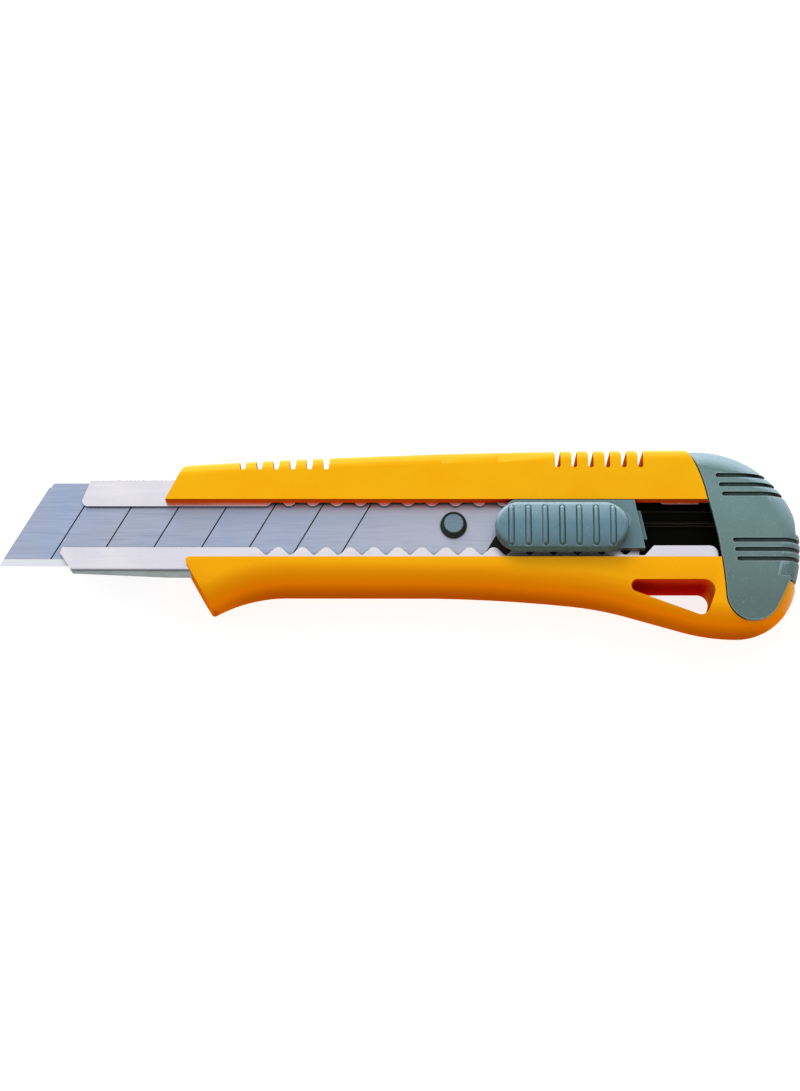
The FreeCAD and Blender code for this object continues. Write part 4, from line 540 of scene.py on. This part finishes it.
def domed_button(box):
    """The pad: crowned across, round at its rim, with seven rounded ribs, a skirt and two legs."""
    low, high = box
    middle = (low.y + high.y) / 2
    half = (high.y - low.y) / 2
    straight = half - RIM
    pad_top = high.z - RIB_RISE + RIB_PROUD
    first_rib = low.x + RIB_FIRST
    last_rib = first_rib + (RIB_COUNT - 1) * RIB_PITCH
    ribs = even(first_rib - MOAT_HALF - STEP_X, last_rib + MOAT_HALF + STEP_X, STEP_X)

    def ends(y):
        """The button's front and rear in a row across."""
        inward = END_BOW - math.sqrt(END_BOW ** 2 - (y - middle) ** 2)
        return low.x + inward, high.x - inward

    def surface(x, y):
        """Height of the pad, with its crown, its rim and its ribs."""
        front = END_BOW - math.hypot(min(x - low.x - END_BOW, 0.0), y - middle)
        rear = END_BOW - math.hypot(max(x - high.x + END_BOW, 0.0), y - middle)
        from_rim = max(min(front, rear, half - abs(y - middle)), 0.0)
        short = max(RIM - from_rim, 0.0)
        drop = RIM - math.sqrt(RIM ** 2 - short ** 2)
        fall = CROWN * ((y - middle) / half) ** 2
        return pad_top - fall - drop + rib_height(x, y, first_rib, middle)

    def columns(y):
        """Places along a row: close together at its ends and over the ribs."""
        inner_y = min(max(y, middle - straight), middle + straight)
        front, rear = ends(inner_y)
        line = [front + (ribs[0] - front) * share for share in eased(END_STEPS)[:-1]]
        line += ribs
        line += [rear - (rear - ribs[-1]) * share for share in reversed(eased(END_STEPS)[:-1])]
        if inner_y == y:
            return line
        new_front, new_rear = ends(y)
        stretch = (new_rear - new_front) / (rear - front)
        return [new_front + (x - front) * stretch for x in line]

    rows = [middle - half + RIM * share for share in eased(RIM_STEPS)]
    rows += even(middle - straight, middle + straight, STEP_Y)[1:-1]
    rows += [middle + half - RIM * share for share in reversed(eased(RIM_STEPS))]

    mesh = bmesh.new()
    grid = [[mesh.verts.new((x, y, surface(x, y))) for x in columns(y)] for y in rows]
    for lower, upper in zip(grid, grid[1:]):
        for place in range(len(lower) - 1):
            mesh.faces.new((lower[place], lower[place + 1], upper[place + 1], upper[place]))
    close_below(mesh, grid, low.z + LEG_DEPTH)
    for leg_front in LEG_FRONTS:
        add_leg(mesh, low.x + leg_front, middle, low.z)

    data = bpy.data.meshes.new("thumb_pad")
    mesh.to_mesh(data)
    mesh.free()
    data.shade_smooth()
    data.set_sharp_from_angle(angle=math.radians(CREASE_ANGLE))
    button = bpy.data.objects.new("thumb_pad", data)
    bpy.context.scene.collection.objects.link(button)
    return button


# ---------------------------------------------------------------- surroundings

def make_floor():
    """White paper that glows a little, so that the shadows on it stay light."""
    corners = ((-1, -1), (1, -1), (1, 1), (-1, 1))
    mesh = bpy.data.meshes.new("floor")
    mesh.from_pydata([(x * FLOOR_HALF, y * FLOOR_HALF, -FLOOR_DROP) for x, y in corners], [], [(0, 1, 2, 3)])
    floor = bpy.data.objects.new("floor", mesh)
    bpy.context.scene.collection.objects.link(floor)
    tree = Tree("pale_floor")
    tree.set(Base_Color=tree.towards(PAPER_PALE, PAPER_DARK, tree.noise(1200.0), 0.4, 0.6),
             Roughness=0.95, Specular_IOR_Level=0.05,
             Emission_Color=PAPER_LIGHT, Emission_Strength=FLOOR_GLOW)
    mesh.materials.append(tree.material)


def make_sky():
    """A bright overhead tent that darkens towards the horizon."""
    world = bpy.data.worlds.new("studio")
    bpy.context.scene.world = world
    world.use_nodes = True
    nodes, links = world.node_tree.nodes, world.node_tree.links
    direction = nodes.new("ShaderNodeTexCoord")
    split = nodes.new("ShaderNodeSeparateXYZ")
    links.new(direction.outputs["Generated"], split.inputs["Vector"])
    rise = nodes.new("ShaderNodeMapRange")
    links.new(split.outputs["Z"], rise.inputs["Value"])
    rise.inputs["From Min"].default_value = SKY_FROM
    rise.inputs["From Max"].default_value = SKY_TO
    rise.inputs["To Min"].default_value = HORIZON
    rise.inputs["To Max"].default_value = SKY
    background = nodes["Background"]
    background.inputs["Color"].default_value = SKY_TINT
    links.new(rise.outputs["Result"], background.inputs["Strength"])


def make_key():
    """A soft light from the spine's side."""
    data = bpy.data.lights.new("key", "AREA")
    data.shape = "RECTANGLE"
    data.size, data.size_y = KEY_SIZE
    data.energy = KEY_POWER
    lamp = bpy.data.objects.new("key", data)
    bpy.context.scene.collection.objects.link(lamp)
    lamp.location = KEY_PLACE
    lamp.rotation_euler = (Vector(KEY_AIM) - Vector(KEY_PLACE)).to_track_quat("-Z", "Y").to_euler()


def make_camera(aim):
    """The camera, on the cutting edge's side of straight above."""
    data = bpy.data.cameras.new("camera")
    data.sensor_width = SENSOR
    data.lens = LENS
    data.clip_start = CAMERA_NEAR
    camera = bpy.data.objects.new("camera", data)
    bpy.context.scene.collection.objects.link(camera)
    lift = math.radians(CAMERA_ELEVATION)
    back = Vector((0.0, -math.cos(lift), math.sin(lift)))
    camera.location = aim + back * CAMERA_DISTANCE
    camera.rotation_euler = (-back).to_track_quat("-Z", "Y").to_euler()
    bpy.context.scene.camera = camera


# ---------------------------------------------------------------- the scene

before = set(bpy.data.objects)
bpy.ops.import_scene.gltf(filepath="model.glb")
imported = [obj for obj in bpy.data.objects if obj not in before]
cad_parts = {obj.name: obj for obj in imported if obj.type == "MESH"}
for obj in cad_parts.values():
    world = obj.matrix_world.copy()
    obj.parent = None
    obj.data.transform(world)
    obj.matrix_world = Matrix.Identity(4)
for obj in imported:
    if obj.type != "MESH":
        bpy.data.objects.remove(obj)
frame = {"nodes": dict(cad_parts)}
cad_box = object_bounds()
nodes = frame["nodes"]

looks = {
    "handle_body": amber_plastic(),
    "blade_channel": bright_sheet(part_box("blade_channel")),
    "guide_rail": guide_plastic(),
    "blade": blade_steel(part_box("blade")),
    "blade_carrier": carrier_plastic(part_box("blade_carrier")),
    "slider_plate": green_plastic("slider_plastic", SLIDER_GREEN),
    "slider_rivets": green_plastic("painted_rivet", RIVET_GREEN),
    "lock_spring": spring_steel("lock_steel"),
    "button_spring": spring_steel("bow_steel"),
    "end_cap": green_plastic("cap_plastic", CAP_GREEN, CAP_GREEN_LOW_SHADE),
}
for name, material in looks.items():
    for entry in nodes[name].material_slots:
        entry.material = material

for name, (width, segments) in ROUNDED.items():
    soften(nodes[name], width, segments)

pad = domed_button(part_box("thumb_button"))
pad.data.materials.append(green_plastic("button_plastic", BUTTON_GREEN))
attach(pad, "button")
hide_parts("thumb_button")

make_floor()
make_sky()
make_key()
low, high = cad_box
middle = (low + high) / 2
make_camera(Vector((middle.x, middle.y + CAMERA_AIM_Y, CAMERA_AIM_Z)))
bpy.context.scene.view_settings.view_transform = "Standard"
